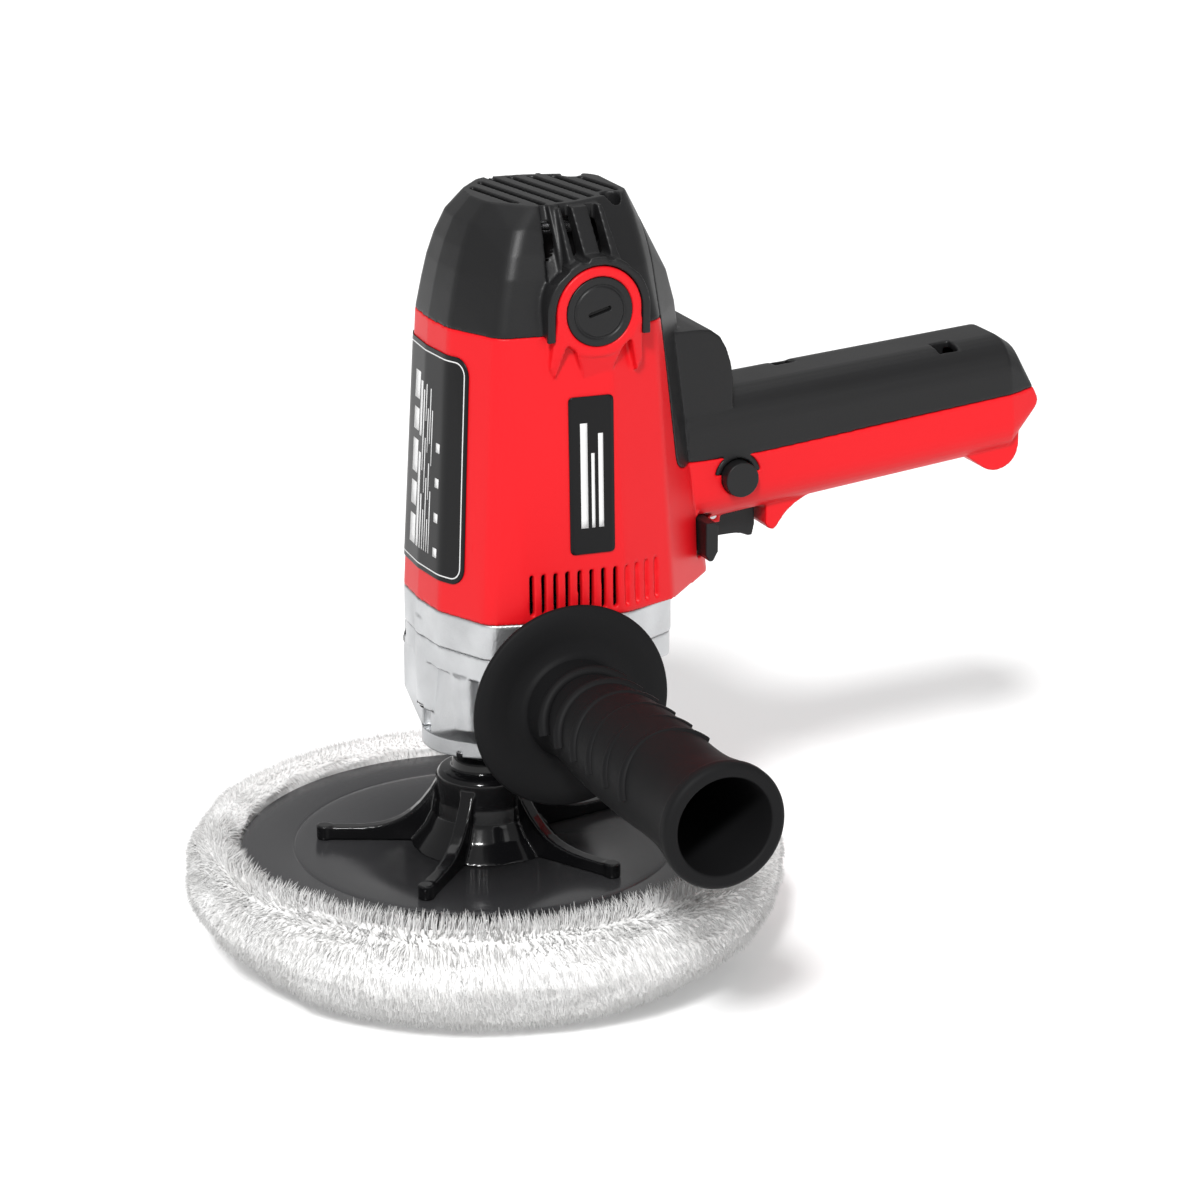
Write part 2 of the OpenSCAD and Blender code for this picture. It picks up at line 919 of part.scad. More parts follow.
module spindle()
    color(steel)
    difference() {
        rotate_extrude()
            polygon([[0, 48], [6.2, 48], [7, 49], [7, 75.5], [8.5, 75.5], [8.5, 86.5], [7.5, 86.5],
                [7.5, 110.2], [shoulder_r, 110.2], [shoulder_r, 115.4], [5, 115.4], [5, 133], [0, 133]]);
        // Four blind holes for the spindle lock.
        for (turn = [0 : 90 : 270])
            translate([0, 0, lock_pin_z])
                rotate([0, 0, lock_dir + turn])
                    rotate([0, 90, 0])
                        translate([0, 0, 4.5])
                            cylinder(r = lock_pin_r + 0.3, h = 10);
        // Spanner flats.
        for (side = [-1, 1])
            translate([0, side * 12.2, 78])
                cube([30, 10, 3.6], center = true);
        // Keyway under the gear.
        translate([5.6, -1.5, 101])
            cube([3, 3, 8]);
    }

module spindle_gear()
    color(steel)
    translate([0, 0, spindle_gear_z[0]])
        difference() {
            linear_extrude(spindle_gear_z[1] - spindle_gear_z[0])
                rotate(spindle_to_lay)
                    polygon(gear_points(spindle_teeth, 0.7, 1.2));
            translate([0, 0, -1])
                cylinder(r = 7.5, h = 20);
            translate([5.6, -1.5, -1])
                cube([4, 3, 20]);
        }

module spindle_key()
    color(steel)
    translate([5.65, -1.45, 101.1])
        cube([3.8, 2.9, 7.8]);

module pad_hub()
    color(black)
    difference() {
        union() {
            rotate_extrude()
                polygon([[0, 50], [0, 74.8], [10, 74.8], [11.5, 73.5], [12, 69.5], [16, 69],
                    [17.2, 67.5], [17.6, 58], [18.6, 52], [21.5, 46.5], [27, plate_top + 0.05],
                    [0, plate_top + 0.05]]);
            for (i = [0 : hub_arms - 1])
                rotate([0, 0, 155 + i * 360 / hub_arms])
                    arm();
        }
        translate([0, 0, plate_top - 1])
            cylinder(r = 7.05, h = 60);
    }

// One arm of the hub: a concave web that ends in a rounded foot.
module arm() {
    tip_r = 3;
    reach = arm_reach - tip_r;
    rotate([90, 0, 0])
        linear_extrude(5, center = true)
            polygon(concat([[12, plate_top + 0.3], [12, 66]],
                [for (i = [0 : 12]) let (a = i / 12)
                    [16.5 + (reach - 16.5) * a, 45 + 21 * (1 - a) ^ 4]],
                [[reach, plate_top + 0.3]]));
    translate([reach, 0, plate_top + 0.05])
        cylinder(r = tip_r, h = 5.4);
}

module backing_plate()
    color([0.3, 0.3, 0.31])
    rotate_extrude()
        polygon([[7.1, plate_top - plate_t], [plate_r - 2, plate_top - plate_t],
            [plate_r, plate_top - plate_t + 2], [plate_r, plate_top - 1],
            [plate_r - 1, plate_top], [70.8, plate_top], [70.3, plate_top - 0.5],
            [69.8, plate_top], [7.1, plate_top]]);

module foam_pad()
    color([0.5, 0.5, 0.5])
    translate([0, 0, 16])
        cylinder(r = plate_r - 2, h = plate_top - plate_t - 16.1);

module wool_bonnet()
    color(wool_white)
    rotate_extrude()
        polygon([[0, 0], [64, 0], [80, 2], [93, 6.6], [103, 14.5], [109.5, 23], [wool_r, 31],
            [111.4, 37], [109, 43], [105.5, 46.5], [102, wool_h - 0.6], [98, wool_h], [94, 47],
            [91.2, 43], [90.6, 38], [90.6, 15.6], [0, 15.6]]);

module lay_shaft()
    color(steel)
    translate([lay_x, lay_y, 92])
        cylinder(r = 4, h = 38.5);

module lay_wheel()
    color(steel)
    translate([lay_x, lay_y, lay_wheel_z[0]])
        difference() {
            linear_extrude(lay_wheel_z[1] - lay_wheel_z[0])
                rotate(motor_to_lay + 180 + 180 / lay_wheel_teeth)
                    polygon(gear_points(lay_wheel_teeth, 0.55, 1.2));
            translate([0, 0, -1])
                cylinder(r = 4, h = 20);
        }

module lay_pinion()
    color(steel)
    translate([lay_x, lay_y, lay_pinion_z[0]])
        difference() {
            linear_extrude(lay_pinion_z[1] - lay_pinion_z[0])
                rotate(spindle_to_lay + 180 + 180 / lay_pinion_teeth)
                    polygon(gear_points(lay_pinion_teeth, 1, 0.95));
            translate([0, 0, -1])
                cylinder(r = 4, h = 20);
        }

module armature_shaft()
    color(steel)
    translate([motor_x, 0, 0])
        union() {
            translate([0, 0, pinion_z[1]])
                cylinder(r = shaft_r, h = bridge_z + 9.5 - pinion_z[1]);
            translate([0, 0, pinion_z[0]])
                linear_extrude(pinion_z[1] - pinion_z[0])
                    rotate(motor_to_lay)
                        polygon(gear_points(armature_teeth, 0.9, 0.75));
        }

module armature_core()
    color(steel)
    translate([motor_x, 0, stator_z[0]])
        difference() {
            cylinder(r = 20, h = stator_z[1] - stator_z[0]);
            translate([0, 0, -1])
                cylinder(r = shaft_r, h = 60);
            for (i = [0 : 11])
                rotate([0, 0, i * 30])
                    translate([18.6, 0, 22])
                        cube([4, 1.8, 60], center = true);
        }

module armature_windings()
    color(copper)
    for (z = [stator_z[0] - 7, stator_z[1]])
        translate([motor_x, 0, z])
            difference() {
                cylinder(r = 16.5, h = 7);
                translate([0, 0, -1])
                    cylinder(r = shaft_r, h = 12);
            }

module commutator()
    color(copper)
    translate([motor_x, 0, 239])
        difference() {
            cylinder(r = commutator_r, h = 18);
            translate([0, 0, -1])
                cylinder(r = shaft_r, h = 30);
            for (i = [0 : 23])
                rotate([0, 0, i * 15])
                    translate([12, 0, 9])
                        cube([1.2, 0.6, 30], center = true);
        }

module cooling_fan()
    color(black)
    translate([motor_x, 0, 139.5])
        difference() {
            union() {
                cylinder(r = 33, h = 2.5);
                cylinder(r = 8, h = 12);
                for (i = [0 : 8])
                    rotate([0, 0, i * 40])
                        translate([20, 0, 6])
                            rotate([0, 0, 25])
                                cube([22, 1.8, 12], center = true);
            }
            translate([0, 0, -1])
                cylinder(r = shaft_r, h = 30);
        }

module trigger()
    color(black)
    difference() {
        union() {
            rotate([90, 0, 0])
                linear_extrude(2 * trigger_w, center = true)
                    polygon([[trigger_x[0], 159], [trigger_x[0], 150], [87, 148.4], [91, 148],
                        [96, 148.2], [100, 147.8], [103.4, 146.4], [104.8, 146.6],
                        [trigger_x[1] - 0.4, 151], [105.4, 160], [100, 160.6], [90, 160.4]]);
            translate([96.5, -2.5, 159])
                cube([5, 5, 10]);
        }
        translate([trigger_pivot[0], 0, trigger_pivot[1]])
            rotate([90, 0, 0])
                cylinder(r = 1.53, h = 30, center = true);
    }

module trigger_spring()
    color(steel)
    translate([99, 0, 169.1])
        spring(2.4, 4.2, 3);

module lock_button()
    color(black)
    translate([lock_at[0], 0, lock_at[1]])
        rotate([90, 0, 0])
            difference() {
                translate([0, 0, 14.5])
                    cylinder(r = lock_r, h = 6 + lock_stroke);
                translate([0, 0, 14])
                    cylinder(r = 3.2, h = 5);
            }

module lock_spring()
    color(steel)
    translate([lock_at[0], -14.6, lock_at[1]])
        rotate([90, 0, 0])
            spring(2.8, 4.2, 3);

module selector_lever()
    color(black)
    union() {
        rotate([90, 0, 0])
            linear_extrude(2 * lever_w, center = true)
                polygon([[lever_x[0], lever_z[1]], [lever_x[0], lever_z[0] + 2.5],
                    [lever_x[0] + 1.5, lever_z[0]], [lever_x[1] - 2, lever_z[0]],
                    [lever_x[1], lever_z[0] + 3.5], [lever_x[1], lever_z[1] - 1],
                    [lever_x[1] - 1, lever_z[1]]]);
        translate([71, -2.6, 146])
            cube([7, 5.2, 4]);
    }

// Children placed along the spindle lock's own axis, which points away from the spindle.
module lock_axis()
    translate([0, 0, lock_pin_z])
        rotate([0, 0, lock_dir])
            rotate([0, 90, 0])
                children();

module spindle_lock_pin()
    color([0.5, 0.05, 0.05])
    lock_axis()
        union() {
            translate([0, 0, shoulder_r + 0.5])
                cylinder(r = lock_pin_r, h = 20);
            // The knob is hollow below, to swallow the spring as it is pressed.
            translate([0, 0, lock_knob_r])
                difference() {
                    cylinder(r = 5, h = spindle_lock_stroke + 0.6);
                    translate([0, 0, -1])
                        difference() {
                            cylinder(r = 4.1, h = 4.9);
                            cylinder(r = lock_pin_r, h = 4.9);
                        }
                }
        }

module spindle_lock_spring()
    color(steel)
    lock_axis()
        translate([0, 0, 24.25])
            spring(3.6, 3.9, 3);

motor_housing();
handle_cover();
top_cap();
gear_case();
gear_plate();
bearing_cover();
felt_seal();
spindle_bearing();
spindle_bush();
lay_shaft_bushes();
drive_end_bearing();
commutator_end_bearing();
bearing_bridge();
stator_core();
stator_windings();
fan_baffle();
brush_holders();
carbon_brushes();
brush_springs();
brush_caps();
switch_body();
suppressor_capacitor();
cord_grommet();
cord_clamp();
side_handle_grip();
side_handle_stud();
front_label();
side_badges();
cap_screws();
handle_screws();
case_screws();
cover_screws();
trigger_pin();
spindle();
spindle_gear();
spindle_key();
pad_hub();
backing_plate();
foam_pad();
wool_bonnet();
lay_shaft();
lay_wheel();
lay_pinion();
armature_shaft();
armature_core();
armature_windings();
commutator();
cooling_fan();
trigger();
trigger_spring();
lock_button();
lock_spring();
selector_lever();
spindle_lock_pin();
spindle_lock_spring();
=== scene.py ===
# %% [markdown]
# # A rotary polisher, dressed around its own frame
# The CAD model fixes where every piece is and how it moves. This lesson gives each piece its
# finish: moulded shells with soft edges, a cast gear case, a glossy hub and a wool bonnet whose
# pile is grown with Geometry Nodes. The first step loads the frame and keeps its outer box.

# %% Load the frame
import json
import math

import bmesh
import bpy
from mathutils import Matrix, Vector, noise
from mathutils.bvhtree import BVHTree


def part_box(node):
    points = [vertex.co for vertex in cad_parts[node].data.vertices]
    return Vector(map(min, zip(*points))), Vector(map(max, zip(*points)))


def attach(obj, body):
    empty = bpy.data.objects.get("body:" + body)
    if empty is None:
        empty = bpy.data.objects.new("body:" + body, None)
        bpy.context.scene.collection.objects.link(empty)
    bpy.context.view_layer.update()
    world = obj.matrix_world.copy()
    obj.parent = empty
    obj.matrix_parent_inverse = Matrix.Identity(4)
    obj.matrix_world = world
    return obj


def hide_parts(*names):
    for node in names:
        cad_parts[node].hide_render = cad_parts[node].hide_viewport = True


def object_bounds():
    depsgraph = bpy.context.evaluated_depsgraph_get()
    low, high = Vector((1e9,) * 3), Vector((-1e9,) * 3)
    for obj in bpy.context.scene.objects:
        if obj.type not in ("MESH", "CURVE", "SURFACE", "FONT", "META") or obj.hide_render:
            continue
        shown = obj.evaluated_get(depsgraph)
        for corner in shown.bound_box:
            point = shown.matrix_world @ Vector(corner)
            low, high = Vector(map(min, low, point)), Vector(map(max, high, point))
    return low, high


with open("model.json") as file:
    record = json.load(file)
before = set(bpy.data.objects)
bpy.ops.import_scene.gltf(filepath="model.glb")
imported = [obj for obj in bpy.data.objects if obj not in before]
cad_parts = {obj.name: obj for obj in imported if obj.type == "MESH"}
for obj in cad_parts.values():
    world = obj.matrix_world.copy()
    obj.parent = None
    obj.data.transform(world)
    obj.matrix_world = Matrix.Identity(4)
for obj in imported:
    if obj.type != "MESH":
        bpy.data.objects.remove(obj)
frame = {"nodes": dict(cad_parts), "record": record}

cad_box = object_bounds()
nodes = frame["nodes"]
MM = 0.001

# %% [markdown]
# ## Small tools for meshes
# A scene like this one needs the same few solids again and again: a prism with a drawn outline,
# a convex block through given corners, and a turned shape. Writing them once with bmesh keeps
# every later cell short. All of them take millimetres, because a maker thinks of such a tool in
# millimetres, and they give a mesh in metres.

# %% Mesh tools
def link(obj):
    bpy.context.scene.collection.objects.link(obj)
    return obj


def merged(mesh):
    """A bmesh of a mesh, with the vertices that share a place made one."""
    tool = bmesh.new()
    tool.from_mesh(mesh)
    bmesh.ops.remove_doubles(tool, verts=tool.verts, dist=1e-6)
    return tool


def mesh_object(name, points, faces):
    """An object from points in millimetres, with its faces turned outwards."""
    mesh = bpy.data.meshes.new(name)
    mesh.from_pydata([Vector(p) * MM for p in points], [], faces)
    tool = merged(mesh)
    bmesh.ops.recalc_face_normals(tool, faces=tool.faces)
    tool.to_mesh(mesh)
    tool.free()
    return link(bpy.data.objects.new(name, mesh))


def prism(outline, y0, y1):
    """An outline in X and Z, drawn out along Y."""
    count = len(outline)
    points = [(x, y, z) for y in (y0, y1) for x, z in outline]
    sides = [(i, (i + 1) % count, (i + 1) % count + count, i + count) for i in range(count)]
    caps = [tuple(range(count)), tuple(range(2 * count - 1, count - 1, -1))]
    return mesh_object("prism", points, sides + caps)


def convex(points):
    """The convex block through the given corners."""
    tool = bmesh.new()
    for p in points:
        tool.verts.new(Vector(p) * MM)
    bmesh.ops.convex_hull(tool, input=tool.verts)
    mesh = bpy.data.meshes.new("convex")
    tool.to_mesh(mesh)
    tool.free()
    return link(bpy.data.objects.new("convex", mesh))


def turned(name, profile, segments=128, wave=None):
    """A shape turned about Z from (radius, height) pairs. wave(angle, i) adds to a radius."""
    points = []
    for i, (radius, height) in enumerate(profile):
        for k in range(segments):
            a = 2 * math.pi * k / segments
            r = radius + (wave(a, i) if wave else 0)
            points.append((r * math.cos(a), r * math.sin(a), height))
    faces = []
    for i in range(len(profile) - 1):
        for k in range(segments):
            n = (k + 1) % segments
            a, b = i * segments, (i + 1) * segments
            faces.append((a + k, a + n, b + n, b + k))
    if profile[0] != profile[-1]:
        faces.append(tuple(range(segments)))
        faces.append(tuple(range(len(points) - segments, len(points))))
    else:
        ring = (len(profile) - 1) * segments
        points = points[:ring]
        faces = [tuple(v % ring for v in f) for f in faces]
    return mesh_object(name, points, faces)


def arc(cx, cz, r, start, end, steps=10):
    """Points of an arc in degrees."""
    turns = [math.radians(start + (end - start) * i / steps) for i in range(steps + 1)]
    return [(cx + r * math.cos(t), cz + r * math.sin(t)) for t in turns]


def apply_modifiers(obj):
    """Turns the evaluated object into a plain mesh."""
    bpy.context.view_layer.update()
    ready = obj.evaluated_get(bpy.context.evaluated_depsgraph_get())
    mesh = bpy.data.meshes.new_from_object(ready)
    obj.modifiers.clear()
    obj.data = mesh
    return obj


def join_meshes(target, others):
    """Adds the other objects' meshes to the target's mesh, and removes those objects."""
    tool = bmesh.new()
    tool.from_mesh(target.data)
    for other in others:
        tool.from_mesh(other.data)
    tool.to_mesh(target.data)
    tool.free()
    for other in others:
        bpy.data.objects.remove(other)
    return target


def settle(obj, body, slot, *replaced, material=None):
    """Paints a piece with its slot's finish, hangs it on its body and hides its CAD nodes."""
    obj.data.materials.clear()
    obj.data.materials.append(material or finishes[slot])
    for face in obj.data.polygons:
        face.use_smooth = True
        face.material_index = 0
    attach(obj, body)
    if replaced:
        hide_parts(*replaced)
    triangles = sum(len(f.vertices) - 2 for f in obj.data.polygons)
    print(f"{obj.name}: {triangles} triangles on {body}")
    return obj


# %% [markdown]
# ## Small tools for node trees
# Shader and geometry trees are long to write by hand. One function adds a node, sets its
# properties, and either links or sets each input. A node given as a value stands for its first
# output. An input named _0 or _1 is found by its place, for nodes whose inputs share one name.

# %% Node tools
def node(tree, kind, props=None, **inputs):
    made = tree.nodes.new(kind)
    for key, value in (props or {}).items():
        setattr(made, key, value)
    for key, value in inputs.items():
        place = int(key[1:]) if key[0] == "_" else key.replace("_", " ")
        socket = made.inputs[place]
        if isinstance(value, bpy.types.Node):
            value = value.outputs[0]
        if isinstance(value, bpy.types.NodeSocket):
            tree.links.new(value, socket)
        else:
            socket.default_value = value
    return made


def math_node(tree, operation, a, b=0.0):
    return node(tree, "ShaderNodeMath", {"operation": operation}, _0=a, _1=b)


def vector_node(tree, operation, a, **more):
    return node(tree, "ShaderNodeVectorMath", {"operation": operation}, _0=a, **more)


def xyz(tree, **parts):
    return node(tree, "ShaderNodeCombineXYZ", None, **parts)


def span(tree, value, low, high, out_low, out_high):
    return node(tree, "ShaderNodeMapRange", None, Value=value, From_Min=low, From_Max=high,
        To_Min=out_low, To_Max=out_high)


def mix_colour(tree, factor, a, b):
    return node(tree, "ShaderNodeMix", {"data_type": "RGBA"}, _0=factor, _6=a, _7=b).outputs[2]


FLOAT, COLOUR, GEOMETRY = "NodeSocketFloat", "NodeSocketColor", "NodeSocketGeometry"


def empty_tree(name, kind, inputs, outputs):
    """A tree with the given sockets and nothing else; gives the tree and its two ends."""
    tree = bpy.data.node_groups.new(name, kind)
    for label, socket in inputs:
        tree.interface.new_socket(label, in_out="INPUT", socket_type=socket)
    for label, socket in outputs:
        tree.interface.new_socket(label, in_out="OUTPUT", socket_type=socket)
    return tree, tree.nodes.new("NodeGroupInput"), tree.nodes.new("NodeGroupOutput")


def close_tree(tree, end, instances, material, smooth=False):
    """Makes instances real, gives them their material and sends them to the tree's end."""
    solid = node(tree, "GeometryNodeRealizeInstances", None, Geometry=instances)
    if smooth:
        solid = node(tree, "GeometryNodeSetShadeSmooth", None, Geometry=solid)
    painted = node(tree, "GeometryNodeSetMaterial", None, Geometry=solid, Material=material)
    tree.links.new(painted.outputs[0], end.inputs[0])
    return tree

# %% [markdown]
# ## Moulded texture
# Plastic housings come out of a mould that was etched, so their skin is a field of tiny pits, and
# hands polish some of it smoother than the rest. Two noises do this: a fine one gives the height
# of the pits, and a broad one says where the skin is a little glossier or dustier. Because black
# shells, red shells and the grip all share the effect, it is a group with its own inputs.

# %% Shader group: moulded texture
SKIN_OUTPUTS = [("Colour", COLOUR), ("Roughness", FLOAT), ("Height", FLOAT)]


def build_moulded_texture():
    tree, start, end = empty_tree("moulded_texture", "ShaderNodeTree", [("Base", COLOUR),
        ("Pit Scale", FLOAT), ("Gloss Low", FLOAT), ("Gloss High", FLOAT)], SKIN_OUTPUTS)
    place = node(tree, "ShaderNodeTexCoord").outputs["Object"]
    pits = node(tree, "ShaderNodeTexNoise", None, Vector=place, Scale=start.outputs["Pit Scale"],
        Detail=2.0, Roughness=0.6)
    broad = node(tree, "ShaderNodeTexNoise", None, Vector=place, Scale=22.0, Detail=5.0)
    speck = node(tree, "ShaderNodeTexNoise", None, Vector=place, Scale=900.0, Detail=1.0)
    patch = span(tree, broad, 0.35, 0.68, 0.0, 1.0)
    gloss = node(tree, "ShaderNodeMapRange", None, Value=patch, To_Min=start.outputs["Gloss Low"],
        To_Max=start.outputs["Gloss High"])
    darker = node(tree, "ShaderNodeHueSaturation", None, Color=start.outputs["Base"], Value=0.82)
    dust = math_node(tree, "MULTIPLY", patch, 0.08)
    fleck = span(tree, speck, 0.62, 0.75, 0.0, 0.1)
    tone = math_node(tree, "ADD", dust, fleck)
    colour = mix_colour(tree, tone, start.outputs["Base"], darker)
    for value, socket in zip((colour, gloss.outputs[0], pits.outputs[0]), end.inputs):
        tree.links.new(value, socket)
    return tree


moulded_texture = build_moulded_texture()

# %% [markdown]
# ## Cast and machined metal
# The gear case is a shot-blasted aluminium casting: pale, with a pebbled skin and faint grey
# clouds. Steel and bronze pieces are turned, so they carry fine rings. One group makes both,
# with the pebbles' scale and the rings' amount as inputs.

# %% Shader group: metal skin
def build_metal_skin():
    tree, start, end = empty_tree("metal_skin", "ShaderNodeTree", [("Base", COLOUR),
        ("Pebble Scale", FLOAT), ("Rings", FLOAT), ("Rough Low", FLOAT), ("Rough High", FLOAT)],
        SKIN_OUTPUTS)
    place = node(tree, "ShaderNodeTexCoord").outputs["Object"]
    pebble = node(tree, "ShaderNodeTexNoise", None, Vector=place,
        Scale=start.outputs["Pebble Scale"], Detail=3.0, Roughness=0.65)
    cloud = node(tree, "ShaderNodeTexNoise", None, Vector=place, Scale=38.0, Detail=6.0)
    rings = node(tree, "ShaderNodeTexWave", {"wave_type": "BANDS", "bands_direction": "Z"},
        Vector=place, Scale=1200.0, Distortion=0.4)
    ring = math_node(tree, "MULTIPLY", rings.outputs["Fac"], start.outputs["Rings"])
    height = math_node(tree, "ADD", pebble, ring)
    patch = span(tree, cloud, 0.38, 0.66, 0.0, 1.0)
    rough = node(tree, "ShaderNodeMapRange", None, Value=patch, To_Min=start.outputs["Rough Low"],
        To_Max=start.outputs["Rough High"])
    dark = node(tree, "ShaderNodeHueSaturation", None, Color=start.outputs["Base"], Value=0.78)
    tone = math_node(tree, "MULTIPLY", patch, 0.55)
    colour = mix_colour(tree, tone, start.outputs["Base"], dark)
    for value, socket in zip((colour, rough.outputs[0], height.outputs[0]), end.inputs):
        tree.links.new(value, socket)
    return tree


metal_skin = build_metal_skin()

# %% [markdown]
# ## Materials
# Each finish is a Principled shader fed by one of the groups. What is the same all over a
# surface, such as its coat or its sheen, is set on the shader's own socket, and only colours,
# roughness and height come from the group.

# %% Materials of the plastics and metals
def finish(name, group, values, bump, shader):
    """A material whose shader is fed by a group. shader holds the constant sockets."""
    made = bpy.data.materials.new(name)
    made.use_nodes = True
    tree = made.node_tree
    bsdf = tree.nodes["Principled BSDF"]
    texture = node(tree, "ShaderNodeGroup", {"node_tree": group}, **values)
    tree.links.new(texture.outputs["Colour"], bsdf.inputs["Base Color"])
    tree.links.new(texture.outputs["Roughness"], bsdf.inputs["Roughness"])
    relief = node(tree, "ShaderNodeBump", None, Strength=bump, Distance=0.0002,
        Height=texture.outputs["Height"])
    tree.links.new(relief.outputs["Normal"], bsdf.inputs["Normal"])
    for key, value in shader.items():
        bsdf.inputs[key].default_value = value
    return made


def plastic(name, colour, low, high, pits, bump, shine):
    values = {"Base": (*colour, 1), "Pit_Scale": pits, "Gloss_Low": low, "Gloss_High": high}
    return finish(name, moulded_texture, values, bump, {"Specular IOR Level": shine})


def metal(name, colour, low, high, pebble, rings, bump):
    values = {"Base": (*colour, 1), "Pebble_Scale": pebble, "Rings": rings,
        "Rough_Low": low, "Rough_High": high}
    return finish(name, metal_skin, values, bump, {"Metallic": 1.0})


finishes = {
    "red_plastic": plastic("red_moulding", (0.66, 0.006, 0.011), 0.36, 0.44, 1500, 0.05, 0.22),
    "black_plastic": plastic("black_moulding", (0.0095, 0.0095, 0.01), 0.36, 0.44, 2200, 0.2, 0.26),
    "grip_plastic": plastic("grip_moulding", (0.0075, 0.0075, 0.008), 0.55, 0.62, 2200, 0.2, 0.1),
    "hub_plastic": plastic("hub_gloss", (0.004, 0.004, 0.0045), 0.12, 0.18, 300, 0.02, 0.35),
    "plate_plastic": plastic("plate_satin", (0.036, 0.036, 0.038), 0.16, 0.24, 1800, 0.08, 0.35),
    "label_film": plastic("label_film", (0.004, 0.004, 0.0045), 0.3, 0.36, 1200, 0.03, 0.2),
    "lock_button_plastic": plastic("button_moulding", (0.012, 0.012, 0.013), 0.4, 0.5, 2200, 0.2,
        0.3),
    "grommet_rubber": plastic("grommet_rubber", (0.015, 0.015, 0.015), 0.6, 0.75, 1600, 0.3, 0.3),
    "capacitor_case": plastic("capacitor_case", (0.55, 0.42, 0.08), 0.35, 0.45, 1500, 0.1, 0.5),
    "carbon": plastic("pressed_carbon", (0.03, 0.03, 0.033), 0.5, 0.65, 2500, 0.4, 0.3),
    "foam": plastic("foam_cells", (0.22, 0.22, 0.23), 0.8, 0.95, 700, 1.0, 0.3),
    "felt": plastic("pressed_felt", (0.2, 0.18, 0.16), 0.9, 1.0, 1500, 0.8, 0.2),
    "cast_alloy": metal("cast_aluminium", (0.6, 0.61, 0.62), 0.36, 0.52, 900, 0.0, 0.6),
    "steel": metal("turned_steel", (0.55, 0.55, 0.56), 0.2, 0.32, 600, 0.4, 0.12),
    "lamination_steel": metal("laminations", (0.3, 0.31, 0.33), 0.35, 0.5, 800, 1.0, 0.4),
    "bronze": metal("turned_bronze", (0.62, 0.42, 0.16), 0.28, 0.4, 700, 0.4, 0.15),
    "copper": metal("wound_copper", (0.7, 0.3, 0.12), 0.3, 0.42, 700, 1.0, 0.5),
}
print("finishes:", ", ".join(sorted(finishes)))

# %% [markdown]
# ## Soft edges for moulded and cast pieces
# A CAD shell has knife edges, and a real moulding or casting never does. A bevel modifier needs
# clean edge loops, which a CAD mesh of loose triangles doesn't have. So a copy of the CAD mesh is
# merged, extra details are laid into it as closed solids, and a voxel remesh fuses them all into
# one skin. A few rounds of smoothing turn each edge into a small radius, and a decimate pass
# keeps triangles only where the surface bends.

# %% Skin a CAD node
def carve(obj, cutters):
    """Cuts solids out of a closed mesh."""
    for cutter in cutters:
        part = obj.modifiers.new("cut", "BOOLEAN")
        part.operation = "DIFFERENCE"
        part.solver = "MANIFOLD"
        part.object = cutter
    apply_modifiers(obj)
    for cutter in cutters:
        bpy.data.objects.remove(cutter)


def fuse(obj, voxel):
    """Adds a voxel remesh, which makes one skin of all the solids in a mesh."""
    remesh = obj.modifiers.new("fuse", "REMESH")
    remesh.mode = "VOXEL"
    remesh.voxel_size = voxel * MM


def skin(name, source, voxel, rounds, triangles, add=(), cut=()):
    """A fused, softened copy of a CAD node, with solids added and others cut away."""
    cad = nodes[source]
    obj = link(bpy.data.objects.new(name, cad.data.copy()))
    obj.data.transform(cad.matrix_world)
    tool = merged(obj.data)
    tool.to_mesh(obj.data)
    tool.free()
    join_meshes(obj, add)
    if cut:
        fuse(obj, voxel)
        apply_modifiers(obj)
        carve(obj, cut)
    fuse(obj, voxel)
    soft = obj.modifiers.new("soften", "SMOOTH")
    soft.factor = 0.5
    soft.iterations = rounds
    apply_modifiers(obj)
    dense = sum(len(f.vertices) - 2 for f in obj.data.polygons)
    if dense > triangles:
        thin = obj.modifiers.new("thin", "DECIMATE")
        thin.ratio = triangles / dense
        apply_modifiers(obj)
    print(f"{name}: {dense} triangles before thinning")
    return obj


def mm_box(name):
    """A node's box in millimetres."""
    low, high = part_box(name)
    return low / MM, high / MM


# %% [markdown]
# ## Motor housing
# The red housing is one injection moulding with the lower half of the rear handle. Below each
# brush ring the wall swells to carry the ring, and two small webs run down into the side. These
# swellings are convex blocks laid into the CAD shell before it is fused. Last, the room that the
# trigger swings in is cut out again, because the softened wall would touch it.

# %% Motor housing
caps_low, caps_high = mm_box("brush_caps")
ring_x = (caps_low.x + caps_high.x) / 2
ring_z = (caps_low.z + caps_high.z) / 2
housing_low, housing_high = mm_box("motor_housing")
boss_face = housing_high.y
ring_r = 16.0
TRIGGER_PLAY, TRIGGER_SWING = (1.1, 1.3), (8, 11)
side_y = boss_face - 3.6


def ring_fairings(side):
    """The swellings under one brush ring."""
    face = side * (boss_face - 0.4)
    wall = side * side_y
    root = side * (side_y - 5)
    apron = convex([(ring_x + dx, y, ring_z - 13.2) for dx in (-8.8, 8.8) for y in (face, root)]
        + [(ring_x + dx, wall, ring_z - 24) for dx in (-5, 5)]
        + [(ring_x + dx, root, ring_z - 26) for dx in (-5, 5)])
    webs = [convex([(ring_x + t * 15.9, face, ring_z - 2), (ring_x + t * 12, face, ring_z - 10),
        (ring_x + t * 17.5, wall + side * 0.4, ring_z - 19), (ring_x + t * 15.5, wall, ring_z - 23),
        (ring_x + t * 15.9, root, ring_z - 2), (ring_x + t * 12, root, ring_z - 10),
        (ring_x + t * 18.5, root, ring_z - 22), (ring_x + t * 15.5, root, ring_z - 25)])
        for t in (-1, 1)]
    return [apron] + webs


